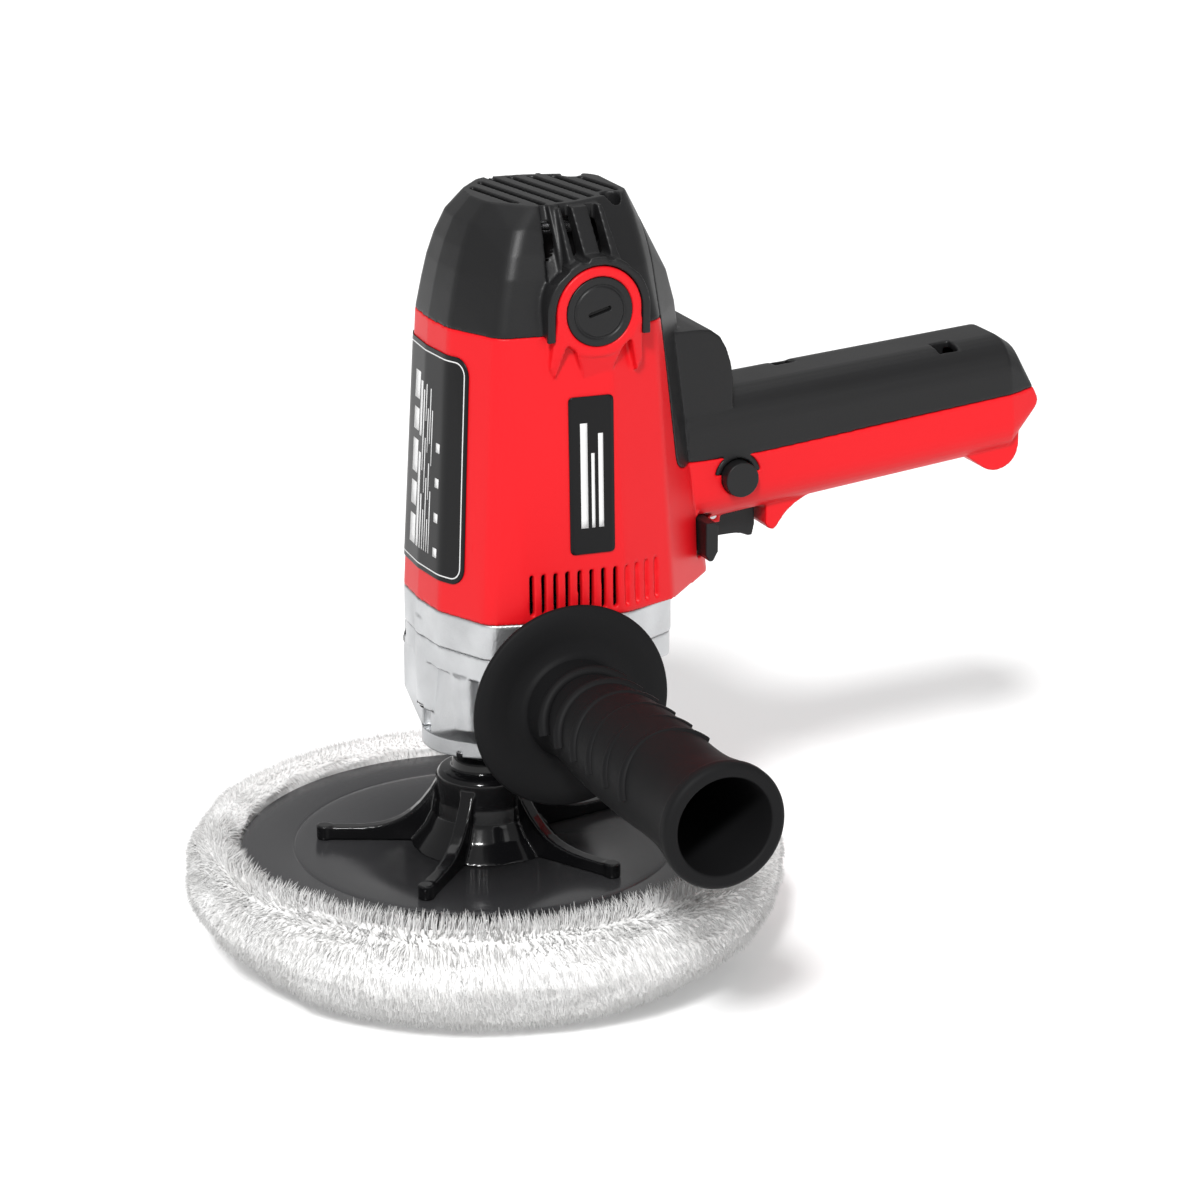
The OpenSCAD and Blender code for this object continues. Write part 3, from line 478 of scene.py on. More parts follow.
red_shell = skin("motor_shell", "motor_housing", 0.55, 4, 150000,
    add=ring_fairings(-1) + ring_fairings(1))
trigger_low, trigger_high = mm_box("trigger")
trigger_room = convex([(x, y, z)
    for x in (trigger_low.x - TRIGGER_PLAY[0], trigger_high.x + TRIGGER_PLAY[1])
    for y in (trigger_low.y - 0.8, trigger_high.y + 0.8)
    for z in (trigger_low.z - TRIGGER_SWING[0], trigger_high.z + TRIGGER_SWING[1])])
carve(red_shell, [trigger_room])
settle(red_shell, "housing", "red_plastic", "motor_housing")

# %% [markdown]
# ## Top cap
# The black cap arches over both brush rings. Between each arch and the crown stands a flat panel
# with two long air slots, and on either side of it the wall falls back into a dark pocket. The
# arch, the panel and the pockets are added here, because the frame only needs the cap's outline.

# %% Top cap
cap_low, cap_high = mm_box("top_cap")


def arch(side):
    """The band over one brush ring, with its two short legs."""
    inner, outer = ring_r + 0.35, ring_r + 3.4
    leg = cap_low.z - 1.6
    shape = ([(ring_x + outer, leg)] + arc(ring_x, ring_z, outer, 0, 180, 24)
        + [(ring_x - outer, leg), (ring_x - inner, leg)]
        + arc(ring_x, ring_z, inner, 180, 0, 24) + [(ring_x + inner, leg)])
    y0, y1 = sorted((side * (side_y + 0.9), side * (boss_face - 0.6)))
    rear = prism([(x, max(z, cap_low.z + 0.1)) for x, z in shape], *sorted((side * 37, side * 43)))
    return [prism(shape, y0, y1), rear]


def panel(side):
    """The flat panel between an arch and the crown."""
    foot, top = ring_z + ring_r - 1.5, cap_high.z - 1.0
    rows = ((10, 42.6, foot), (10, 34, foot), (8.6, 27.5, top), (8.6, 22, top),
        (9, 37.5, foot + 6))
    return convex([(ring_x + dx, side * y, z) for half, y, z in rows for dx in (-half, half)])


def panel_slots(side):
    """Two long round-ended slots in a panel."""
    top = cap_high.z + 2
    return [prism([(x + 2, top), (x - 2, top)] + arc(x, ring_z + 19.5, 2.0, 180, 360, 10),
        *sorted((side * 24.5, side * 60))) for x in (ring_x - 5.3, ring_x + 4.7)]


def pocket(side, s):
    """The sunk pocket beside a panel."""
    x0, x1 = ring_x + s * 11.2, ring_x + s * 16.5
    deep = [(x0, side * 35.5, ring_z + 13), (x1, side * 36.5, ring_z + 9),
        (x0, side * 22.5, cap_high.z + 1), (x1 - s * 2.4, side * 22.5, cap_high.z + 1)]
    out = [(x, y + side * 16, z + 4) for x, y, z in deep]
    return convex(deep + out)


black_cap = skin("cap_shell", "top_cap", 0.5, 3, 90000,
    add=arch(-1) + arch(1) + [panel(-1), panel(1)],
    cut=[c for side in (-1, 1) for c in panel_slots(side) + [pocket(side, -1), pocket(side, 1)]])
settle(black_cap, "housing", "black_plastic", "top_cap")

# %% [markdown]
# ## Handle cover
# The black cover closes the back of the motor housing and the upper half of the handle. Its CAD
# shape is already right, so it only gets its soft edges.

# %% Handle cover
cover = skin("cover_shell", "handle_cover", 0.55, 4, 110000)
settle(cover, "housing", "black_plastic", "handle_cover")

# %% [markdown]
# ## Gear case and gear plate
# Both are a pale grey that is almost white in the light, because shot blasting leaves
# aluminium matt. On the front, a half-round column carries a long screw; its arched top reaches
# up onto the plate. The arch is a slice of a cylinder with a domed end.

# %% Cast pieces
plate_low = mm_box("gear_plate")[0]
column_r = 11.6
column_x = plate_low.x + column_r - 0.5


def front_column():
    """The arched top of the front column on the plate."""
    ring = [(column_x + column_r * math.cos(a), column_r * math.sin(a))
        for a in [math.radians(90 + 180 * i / 20) for i in range(21)]]
    top = [plate_low.z + 1.5 + 5.2 * math.sqrt(max(0.0, 1 - (y / column_r) ** 2)) for _, y in ring]
    points = [(x, y, plate_low.z) for x, y in ring] + [(x, y, z) for (x, y), z in zip(ring, top)]
    return convex(points)


for piece, source, voxel, triangles, extra in (("case_casting", "gear_case", 0.5, 90000, []),
        ("plate_casting", "gear_plate", 0.5, 60000, [front_column()]),
        ("collar_casting", "bearing_cover", 0.35, 40000, [])):
    settle(skin(piece, source, voxel, 3, triangles, add=extra), "housing", "cast_alloy", source)

# %% [markdown]
# ## Small controls
# Trigger, lock-on button, selector and brush caps are small mouldings that fingers touch, so
# their edges are rounder for their size. The same skin tool makes them with a finer voxel.

# %% Controls
for piece, source, body, voxel in (("trigger_lever", "trigger", "trigger_unit", 0.3),
        ("lock_on_knob", "lock_button", "lock_button_unit", 0.3),
        ("selector_paddle", "selector_lever", "selector_unit", 0.35),
        ("brush_cap_pair", "brush_caps", "housing", 0.28),
        ("spindle_lock_knob", "spindle_lock_pin", "spindle_lock_unit", 0.3)):
    slot = "lock_button_plastic" if source == "spindle_lock_pin" else "black_plastic"
    settle(skin(piece, source, voxel, 4, 30000), body, slot, source)

# %% [markdown]
# ## Pad hub and backing plate
# The hub is polished black plastic, and its arms melt into the centre with generous fillets. A
# coarser voxel with more smoothing gives those fillets by itself. The plate is a turned disc with
# a fine groove, so it is turned here from its own profile, with rounded rims.

# %% Hub and plate
hub = skin("hub_moulding", "pad_hub", 0.45, 7, 110000)
settle(hub, "spindle_unit", "hub_plastic", "pad_hub")

disc_low, disc_high = mm_box("backing_plate")
disc_r = disc_high.x
groove_r = disc_r * 0.78
disc_profile = ([(7.1, disc_low.z), (disc_r - 2.5, disc_low.z)]
    + arc(disc_r - 2.5, disc_low.z + 2.5, 2.5, -90, 0, 6)
    + arc(disc_r - 1.2, disc_high.z - 1.2, 1.2, 0, 90, 6)
    + [(groove_r + 0.7, disc_high.z), (groove_r + 0.35, disc_high.z - 0.12),
       (groove_r, disc_high.z - 0.5), (groove_r - 0.35, disc_high.z - 0.12),
       (groove_r - 0.7, disc_high.z), (groove_r - 3, disc_high.z), (7.1, disc_high.z),
       (7.1, disc_low.z)])
disc = turned("plate_disc", disc_profile, 256)
settle(disc, "spindle_unit", "plate_plastic", "backing_plate")

# %% [markdown]
# ## Side handle
# The side handle is a turned form: a dished guard, a short neck, a palm swell and a flared end
# with a hollow bore. It is turned about Z from a smooth profile, then laid along -Y. Over the
# top of the palm swell lie a few shallow crescent ribs. Geometry Nodes repeat them: one arc,
# swept with a small round, is copied along a line, and the result joins the grip's own mesh.

# %% Side handle
grip_low, grip_high = mm_box("side_handle_grip")
grip_x = (grip_low.x + grip_high.x) / 2
grip_z = (grip_low.z + grip_high.z) / 2
guard_r = (grip_high.x - grip_low.x) / 2
guard_back = -grip_high.y
grip_end = -grip_low.y
lie_down = Matrix.Rotation(math.pi / 2, 4, "X")
to_handle = Matrix.Translation(Vector((grip_x, 0, grip_z)) * MM) @ lie_down


def smooth_profile(points, steps=6):
    """A Catmull-Rom curve through (radius, height) pairs."""
    out = []
    padded = [points[0]] + points + [points[-1]]
    for i in range(1, len(padded) - 2):
        p0, p1, p2, p3 = (Vector(p) for p in padded[i - 1:i + 3])
        for k in range(steps):
            t = k / steps
            bend = 2 * p0 - 5 * p1 + 4 * p2 - p3
            point = 0.5 * (2 * p1 + (p2 - p0) * t + bend * t * t
                + (3 * p1 - p0 - 3 * p2 + p3) * t ** 3)
            out.append((point.x, point.y))
    return out + [points[-1]]


palm = smooth_profile([(18.2, guard_back + 4.2), (17.7, guard_back + 8), (17.2, guard_back + 13),
    (17.0, guard_back + 18), (17.8, guard_back + 28), (19.0, guard_back + 48),
    (19.3, guard_back + 72), (18.7, guard_back + 94), (19.3, guard_back + 108),
    (21.2, grip_end - 8), (22.1, grip_end - 4)])
bore_r = 17.0
grip_profile = ([(4.05, guard_back)] + [(guard_r - 1.6, guard_back)]
    + arc(guard_r - 1.6, guard_back + 1.6, 1.6, -90, 60, 8)
    + [(guard_r - 6, guard_back + 3.7), (26, guard_back + 2.9), (20.4, guard_back + 3.0)]
    + palm + arc(19.9, grip_end - 2.2, 2.2, 10, 90, 8) + [(18.4, grip_end - 0.2)]
    + arc(bore_r + 1.2, grip_end - 1.4, 1.2, 90, 180, 5)
    + [(bore_r, grip_end - 20), (bore_r, grip_end - 84), (bore_r - 1, grip_end - 85),
       (6, grip_end - 85), (4.05, grip_end - 85), (4.05, guard_back)])
grip = turned("side_grip", grip_profile, 160)
grip.data.transform(to_handle)


def rib_tree():
    """Arcs swept with a small round and repeated along a line."""
    tree, start, end = empty_tree("grip_ribs", "GeometryNodeTree", [("Geometry", GEOMETRY),
        ("Radius", FLOAT), ("Pitch", FLOAT), ("Thickness", FLOAT), ("Sweep", FLOAT),
        ("Count", "NodeSocketInt")], [("Geometry", GEOMETRY)])
    curve = node(tree, "GeometryNodeCurveArc", {"mode": "RADIUS"}, Resolution=28,
        Radius=start.outputs["Radius"], Start_Angle=-1.0, Sweep_Angle=start.outputs["Sweep"])
    round_bar = node(tree, "GeometryNodeCurvePrimitiveCircle", None, Resolution=10,
        Radius=start.outputs["Thickness"])
    rib = node(tree, "GeometryNodeCurveToMesh", None, Curve=curve, Profile_Curve=round_bar,
        Fill_Caps=True)
    line = node(tree, "GeometryNodeMeshLine", None, Count=start.outputs["Count"],
        Offset=xyz(tree, Z=start.outputs["Pitch"]))
    copies = node(tree, "GeometryNodeInstanceOnPoints", None, Points=line, Instance=rib,
        Rotation=(0.0, 0.38, 0.0))
    return close_tree(tree, end, copies, finishes["grip_plastic"])


def grown(name, tree, base, settings):
    """Runs a Geometry Nodes tree on a base object and keeps the plain mesh."""
    grower = base.modifiers.new("grow", "NODES")
    grower.node_group = tree
    for item in tree.interface.items_tree:
        if item.item_type == "SOCKET" and item.in_out == "INPUT" and item.name in settings:
            grower[item.identifier] = settings[item.name]
    base.name = name
    return apply_modifiers(base)


seed_point = mesh_object("seed", [(0, 0, 0)], [])
ribs = grown("ribs", rib_tree(), seed_point,
    {"Radius": 18.4 * MM, "Pitch": 13.5 * MM, "Thickness": 2.3 * MM, "Sweep": 2.4, "Count": 6})
ribs.data.transform(to_handle @ Matrix.Translation((0, 0, (guard_back + 22) * MM))
    @ Matrix.Rotation(math.radians(105), 4, "Z"))
join_meshes(grip, [ribs])
settle(grip, "housing", "grip_plastic", "side_handle_grip")

# %% [markdown]
# ## Labels on a curved wall
# The rating label wraps round the front of the housing, so it can't be a flat card. Rays from
# the motor's axis find the wall at each height and each step of arc length, which lets a flat
# drawing be laid onto the wall. The film is black with a thin light border, and short plain bars
# stand where a real label has its text.

# %% Label tools
wall_tree = BVHTree.FromObject(red_shell, bpy.context.evaluated_depsgraph_get())
core_x = (housing_low.x + 80) / 2


def front_hit(angle, z):
    """The wall seen from the motor's core at an angle from -X, and its normal."""
    start = Vector((core_x, 0, z)) * MM
    out = Vector((-math.cos(angle), math.sin(angle), 0))
    hit, normal, _, _ = wall_tree.ray_cast(start + out * 0.2, -out)
    return hit, normal


def arc_table(z):
    """Arc length along the front wall against angle, from the middle."""
    angles = [math.radians(a * 0.5) for a in range(-160, 161)]
    points = [front_hit(a, z)[0] for a in angles]
    lengths = [0.0]
    for a, b in zip(points, points[1:]):
        lengths.append(lengths[-1] + (b - a).length / MM)
    middle = lengths[len(lengths) // 2]
    return angles, [v - middle for v in lengths]


def on_front(s, z, lift, table):
    angles, lengths = table
    k = max(1, next((i for i, v in enumerate(lengths) if v > s), len(lengths) - 1))
    t = (s - lengths[k - 1]) / (lengths[k] - lengths[k - 1])
    hit, normal = front_hit(angles[k - 1] + t * (angles[k] - angles[k - 1]), z)
    return hit / MM + normal * lift


def on_side(side):
    def place(s, z, lift):
        start = Vector((s, side * 90, z)) * MM
        hit, normal, _, _ = wall_tree.ray_cast(start, Vector((0, -side, 0)))
        return hit / MM + normal * lift
    return place


def half_width(w, h, r, z):
    """Half the width of a rounded rectangle at height z above its middle."""
    d = abs(z) - (h / 2 - r)
    return w / 2 if d <= 0 else w / 2 - r + math.sqrt(max(0.0, r * r - d * d))


def grid_faces(columns, rows):
    wide = columns + 1
    return [(j * wide + i, j * wide + i + 1, (j + 1) * wide + i + 1, (j + 1) * wide + i)
        for j in range(rows) for i in range(columns)]


def rounded_sheet(w, h, r, columns, rows):
    """A grid that fills a rounded rectangle."""
    points = []
    for j in range(rows + 1):
        z = h / 2 * math.sin(math.pi / 2 * (2 * j / rows - 1))
        half = max(half_width(w, h, r, z), 0.05)
        points += [(half * (2 * i / columns - 1), z) for i in range(columns + 1)]
    return points, grid_faces(columns, rows)


def bar(s0, s1, z0, z1):
    """A plain upright bar; a thin one has a single row of faces."""
    rows = max(2, int((z1 - z0) / 3)) if s1 - s0 > 1 else 1
    columns = max(2, int((s1 - s0) / 2))
    points = [(s0 + (s1 - s0) * i / columns, z0 + (z1 - z0) * j / rows)
        for j in range(rows + 1) for i in range(columns + 1)]
    return points, grid_faces(columns, rows)


def rounded_line(w, h, r, inset, width):
    """A thin closed line that follows a rounded rectangle."""
    rings = []
    for d in (inset, inset + width):
        a, b, c = w / 2 - d, h / 2 - d, max(r - d, 0.4)
        ring = []
        for cx, cz, turn in ((a - c, b - c, 0), (-a + c, b - c, 90), (-a + c, -b + c, 180),
                (a - c, -b + c, 270)):
            ring += arc(cx, cz, c, turn, turn + 90, 8)
        dense = []
        for p, q in zip(ring, ring[1:] + ring[:1]):
            cuts = 24 if math.dist(p, q) > c else 1
            dense += [(p[0] + (q[0] - p[0]) * k / cuts, p[1] + (q[1] - p[1]) * k / cuts)
                for k in range(cuts)]
        rings.append(dense)
    count = len(rings[0])
    faces = [(i, (i + 1) % count, (i + 1) % count + count, i + count) for i in range(count)]
    return rings[0] + rings[1], faces


def laid(name, drawing, place, mid, lift, thickness):
    """Lays a flat drawing onto a wall and gives it a thickness."""
    points, faces = drawing
    obj = mesh_object(name, [place(mid[0] + s, mid[1] + z, lift) for s, z in points], faces)
    film = obj.modifiers.new("film", "SOLIDIFY")
    film.thickness = thickness * MM
    film.offset = 0
    return apply_modifiers(obj)


white_ink = plastic("label_ink", (0.7, 0.7, 0.7), 0.35, 0.45, 1500, 0.03, 0.3)

# %% [markdown]
# ## The rating label and the side badges
# The film stands about half a millimetre proud, and its line and bars a hair more, which is how
# a domed sticker looks. Bars of several lengths follow a fixed list of shares, so each run gives
# the same label.

# %% Labels
label_low, label_high = mm_box("front_label")
label_z = (label_low.z + label_high.z) / 2
label_h = label_high.z - label_low.z
front_table = arc_table(label_z)
label_w = 2 * max(s for s, a in zip(front_table[1], front_table[0])
    if abs(front_hit(a, label_z)[0].y) <= label_high.y * MM)


def place_front(s, z, lift):
    return on_front(s, z, lift, front_table)


def film_piece(name, parts, *replaced, material=white_ink):
    """Joins laid sheets into one piece on the housing."""
    piece = join_meshes(parts[0], parts[1:])
    piece.name = name
    settle(piece, "housing", "label_film", *replaced, material=material)


CORNER = 6.5
front = place_front, (0, label_z)
film_piece("rating_label", [laid("film", rounded_sheet(label_w, label_h, CORNER, 56, 40), *front,
    0.28, 0.35)], "front_label", material=finishes["label_film"])
film_piece("rating_label_line", [laid("line", rounded_line(label_w, label_h, CORNER, 1.7, 0.45),
    *front, 0.5, 0.12)])

# Each column: its far edge, its width, and the shares of the label's height that its bars take
columns = [(9.6, 5.4, (0.16, 0.13, 0.18, 0.12, 0.15)), (3.2, 2.2, (0.52, 0.3)),
    (-0.2, 0.8, (0.3, 0.44)), (-2.2, 0.55, (0.22, 0.3, 0.2)), (-3.9, 0.55, (0.4, 0.24)),
    (-5.6, 0.55, (0.18, 0.2, 0.3)), (-7.3, 0.55, (0.34, 0.3)),
    (-11.2, 2.8, (0.05, 0.05, 0.05, 0.05))]
MARGIN = 7.5
reach = label_h - 2 * MARGIN
bars = []
for edge, wide, shares in columns:
    gap = min(0.14, (1 - sum(shares)) / len(shares)) * reach
    z0 = -label_h / 2 + MARGIN
    for share in shares:
        bars.append(laid("bar", bar(edge - wide, edge, z0, z0 + share * reach), *front, 0.5, 0.1))
        z0 += share * reach + gap
film_piece("rating_label_bars", bars)

badge_low, badge_high = mm_box("side_badges")
badge_mid = ((badge_low.x + badge_high.x) / 2, (badge_low.z + badge_high.z) / 2)
badge_w, badge_h = badge_high.x - badge_low.x, badge_high.z - badge_low.z
badges, marks = [], []
for side in (-1, 1):
    place = on_side(side)
    badges.append(laid("badge", rounded_sheet(badge_w, badge_h, 1.6, 12, 24), place, badge_mid,
        0.3, 0.5))
    for s0, wide, low, high in ((-4.2, 2.6, -19, 19), (-0.2, 1.2, -19, 8), (2.4, 1.8, -19, 15)):
        marks.append(laid("mark", bar(s0, s0 + wide, low, high), place, badge_mid, 0.62, 0.12))
film_piece("side_badge_pair", badges, "side_badges", material=finishes["label_film"])
film_piece("side_badge_bars", marks)

# %% [markdown]
# ## The wool bonnet
# A polishing bonnet is sheepskin with the pile outside, pulled over a foam pad. Its skin is a
# fat ring with a flat face below and a soft lip above. The pile could be a hair system, but hair
# is lost in an export, so Geometry Nodes grow it as thin three-sided tufts. They stand along the
# surface normal, lean with a slow noise so that they clump, and hang a little. Each tuft keeps the
# normal of the skin it stands on, and the material leans its shading towards that normal: a real
# fleece scatters light between its fibres and looks soft, while bare cones would look like straw.

# %% Wool material
SKIN_NORMAL = "skin_normal"


def build_wool():
    made = bpy.data.materials.new("wool_pile")
    made.use_nodes = True
    tree = made.node_tree
    bsdf = tree.nodes["Principled BSDF"]
    place = node(tree, "ShaderNodeTexCoord").outputs["Object"]
    clump = node(tree, "ShaderNodeTexNoise", None, Vector=place, Scale=70.0, Detail=4.0)
    fine = node(tree, "ShaderNodeTexNoise", None, Vector=place, Scale=420.0, Detail=4.0)
    tone = span(tree, clump, 0.3, 0.7, 0.0, 1.0)
    colour = mix_colour(tree, tone, (0.86, 0.858, 0.852, 1), (0.76, 0.756, 0.745, 1))
    tree.links.new(colour, bsdf.inputs["Base Color"])
    relief = node(tree, "ShaderNodeBump", None, Strength=0.5, Distance=0.0012, Height=fine)
    root = node(tree, "ShaderNodeAttribute", {"attribute_name": SKIN_NORMAL}).outputs["Vector"]
    turned_root = node(tree, "ShaderNodeVectorTransform", {"vector_type": "NORMAL",
        "convert_from": "OBJECT", "convert_to": "WORLD"}, Vector=root)
    share = vector_node(tree, "SCALE", turned_root, Scale=1.6)
    soft = vector_node(tree, "NORMALIZE", vector_node(tree, "ADD", relief, _1=share))
    tree.links.new(soft.outputs[0], bsdf.inputs["Normal"])
    bsdf.inputs["Roughness"].default_value = 0.9
    bsdf.inputs["Sheen Weight"].default_value = 0.35
    bsdf.inputs["Sheen Roughness"].default_value = 0.5
    return made


finishes["wool"] = build_wool()

# %% [markdown]
# The skin is turned from a profile that sits inside the CAD bonnet by the length of the pile.
# Slow noise makes it uneven, as a washed fleece is. A second, open sheet of the same form marks
# where the pile grows: from just above the floor, over the lip and a little way down inside.

# %% Wool skin
wool_high = mm_box("wool_bonnet")[1]
wool_r, wool_top = wool_high.x, wool_high.z
inner_r = disc_r + 0.7


def fleece(a, i):
    p = Vector((math.cos(a) * 2.2, math.sin(a) * 2.2, i * 0.12))
    return 2.0 * noise.noise(p) + 1.5 * noise.noise(p * 3.1) + 0.5 * noise.noise(p * 9)


outer_profile = smooth_profile([(wool_r - 47, 0.3), (wool_r - 32, 2.8), (wool_r - 20.5, 7.8),
    (wool_r - 11.2, 15.6), (wool_r - 5, 23.6), (wool_r - 2.6, 31), (wool_r - 3.2, 36.5),
    (wool_r - 5.6, 41.6), (wool_r - 8.8, wool_top - 4.6), (wool_r - 11.6, wool_top - 3.2),
    (wool_r - 14.4, wool_top - 3), (wool_r - 17.6, wool_top - 4.6),
    (inner_r + 0.8, wool_top - 7), (inner_r + 0.2, wool_top - 11)], 4)
inner_profile = [(inner_r, 36), (inner_r, 15.7)]
skin_profile = [(0.5, 0.1), (wool_r - 60, 0.1)] + outer_profile + inner_profile + [(0.5, 15.7)]
wool_skin = turned("wool_bonnet_pile", skin_profile, 180,
    lambda a, i: fleece(a, i) if 2 < i < len(outer_profile) else 0)
pile_bed = turned("pile_bed", outer_profile, 180, lambda a, i: fleece(a, i + 2))
bed = bmesh.new()
bed.from_mesh(pile_bed.data)
bmesh.ops.delete(bed, geom=[f for f in bed.faces if len(f.verts) > 4
    or f.calc_center_median().z < 0.004], context="FACES")
bed.normal_update()


def from_ring(point):
    """The way out from the middle of the fat ring, a circle at mid height."""
    return point - Vector((point.x, point.y, 0)).normalized() * 0.098 - Vector((0, 0, 0.025))


bmesh.ops.reverse_faces(bed, faces=[f for f in bed.faces
    if f.normal.dot(from_ring(f.calc_center_median())) < 0])
bed.to_mesh(pile_bed.data)
bed.free()

# %% [markdown]
# The tree below scatters points, stands a three-sided cone on each, turns it along the normal
# bent by noise and gravity, and gives each its own length. A tuft has 12 triangles, because tens
# of thousands are needed before a fleece looks closed.

# %% Grow the pile
def pile_tree():
    tree, start, end = empty_tree("wool_pile", "GeometryNodeTree", [("Geometry", GEOMETRY),
        ("Density", FLOAT), ("Short", FLOAT), ("Long", FLOAT), ("Thickness", FLOAT),
        ("Unruly", FLOAT), ("Hang", FLOAT), ("Seed", "NodeSocketInt"),
        ("Ruffled_Side", "NodeSocketVector")], [("Geometry", GEOMETRY)])
    given = start.outputs
    points = node(tree, "GeometryNodeDistributePointsOnFaces", None, Mesh=start,
        Density=given["Density"], Seed=given["Seed"])
    normal = points.outputs["Normal"]
    where = node(tree, "GeometryNodeInputPosition")
    slow = node(tree, "ShaderNodeTexNoise", None, Vector=where, Scale=60.0, Detail=2.0)
    quick = node(tree, "ShaderNodeTexNoise", None, Vector=where, Scale=700.0, Detail=1.0)

    # Where a tuft points: along the normal, bent by noise and combed down along the skin
    both = vector_node(tree, "ADD", slow.outputs["Color"], _1=quick.outputs["Color"])
    centred = vector_node(tree, "SUBTRACT", both, _1=(1.0, 1.0, 1.0))
    lean = vector_node(tree, "SCALE", centred, Scale=given["Unruly"])
    rise = node(tree, "ShaderNodeSeparateXYZ", None, Vector=normal).outputs["Z"]
    across = vector_node(tree, "SCALE", normal, Scale=rise)
    comb = vector_node(tree, "ADD", across, _1=(0.0, 0.0, -1.0))
    down = vector_node(tree, "SCALE", comb, Scale=given["Hang"])
    aim = vector_node(tree, "ADD", vector_node(tree, "ADD", normal, _1=lean), _1=down)
    turn = node(tree, "FunctionNodeAlignRotationToVector", {"axis": "Z"}, Vector=aim)
    spin = node(tree, "FunctionNodeRandomValue", {"data_type": "FLOAT"}, _2=0.0, _3=6.283, Seed=3)
    about = node(tree, "FunctionNodeAxisAngleToRotation", None, Axis=(0, 0, 1),
        Angle=spin.outputs[1])
    turned_tuft = node(tree, "FunctionNodeRotateRotation", {"rotation_space": "LOCAL"},
        Rotation=turn, Rotate_By=about)

    # One curved tuft
    cone = node(tree, "GeometryNodeMeshCone", {"fill_type": "NONE"}, Vertices=3,
        Side_Segments=2, Radius_Top=0.12, Radius_Bottom=1.0, Depth=1.0)
    height = node(tree, "ShaderNodeSeparateXYZ", None,
        Vector=node(tree, "GeometryNodeInputPosition")).outputs["Z"]
    curl = math_node(tree, "MULTIPLY", math_node(tree, "MULTIPLY", height, height), 2.2)
    bent = node(tree, "GeometryNodeSetPosition", None, Geometry=cone, Offset=xyz(tree, X=curl))

    # How long it is: short at first, and long on the ruffled side and over the lip
    side = vector_node(tree, "DOT_PRODUCT", where, _1=given["Ruffled_Side"]).outputs["Value"]
    patch = span(tree, slow, 0.35, 0.65, -0.035, 0.035)
    near = span(tree, math_node(tree, "ADD", side, patch), -0.01, 0.075, 0.0, 1.0)
    up = node(tree, "ShaderNodeSeparateXYZ", None, Vector=where).outputs["Z"]
    ruffled = math_node(tree, "MULTIPLY", near, span(tree, up, 0.036, 0.045, 0.2, 1.0))
    reach = math_node(tree, "SUBTRACT", given["Long"], given["Short"])
    length = math_node(tree, "ADD", given["Short"], math_node(tree, "MULTIPLY", ruffled, reach))
    size = node(tree, "FunctionNodeRandomValue", {"data_type": "FLOAT"}, _2=0.55, _3=1.2, Seed=11)
    tall = math_node(tree, "MULTIPLY", size.outputs[1], length)
    girth = math_node(tree, "MULTIPLY", given["Thickness"], span(tree, ruffled, 0.0, 1.0, 1.0, 2.0))

    rooted = node(tree, "GeometryNodeStoreNamedAttribute", {"data_type": "FLOAT_VECTOR",
        "domain": "POINT"}, Geometry=points, Name=SKIN_NORMAL)
    tree.links.new(normal, rooted.inputs["Value"])
    tufts = node(tree, "GeometryNodeInstanceOnPoints", None, Points=rooted, Instance=bent,
        Rotation=turned_tuft, Scale=xyz(tree, X=girth, Y=girth, Z=tall))
    return close_tree(tree, end, tufts, finishes["wool"], smooth=True)


pile = grown("pile", pile_tree(), pile_bed, {"Density": 900000.0, "Short": 2.0 * MM,
    "Long": 6.4 * MM, "Thickness": 0.15 * MM, "Unruly": 0.8, "Hang": 0.7, "Seed": 7,
    "Ruffled_Side": (-0.41, -0.91, 0.0)})
for vertex in pile.data.vertices:
    vertex.co.z = max(vertex.co.z, 0.1 * MM)
own = wool_skin.data.attributes.new(SKIN_NORMAL, "FLOAT_VECTOR", "POINT")
for kept, vertex in zip(own.data, wool_skin.data.vertices):
    kept.vector = vertex.normal
join_meshes(wool_skin, [pile])
settle(wool_skin, "spindle_unit", "wool", "wool_bonnet")

# %% [markdown]
# ## Screws
# Every screw on the tool is a pan head with a cross. Geometry Nodes set one head on each point
# of a small guide mesh, so a change to the head changes them all.

# %% Screw heads
def joined(tree, *parts):
    made = node(tree, "GeometryNodeJoinGeometry")
    for part in parts:
        tree.links.new(part.outputs[0], made.inputs[0])
    return made


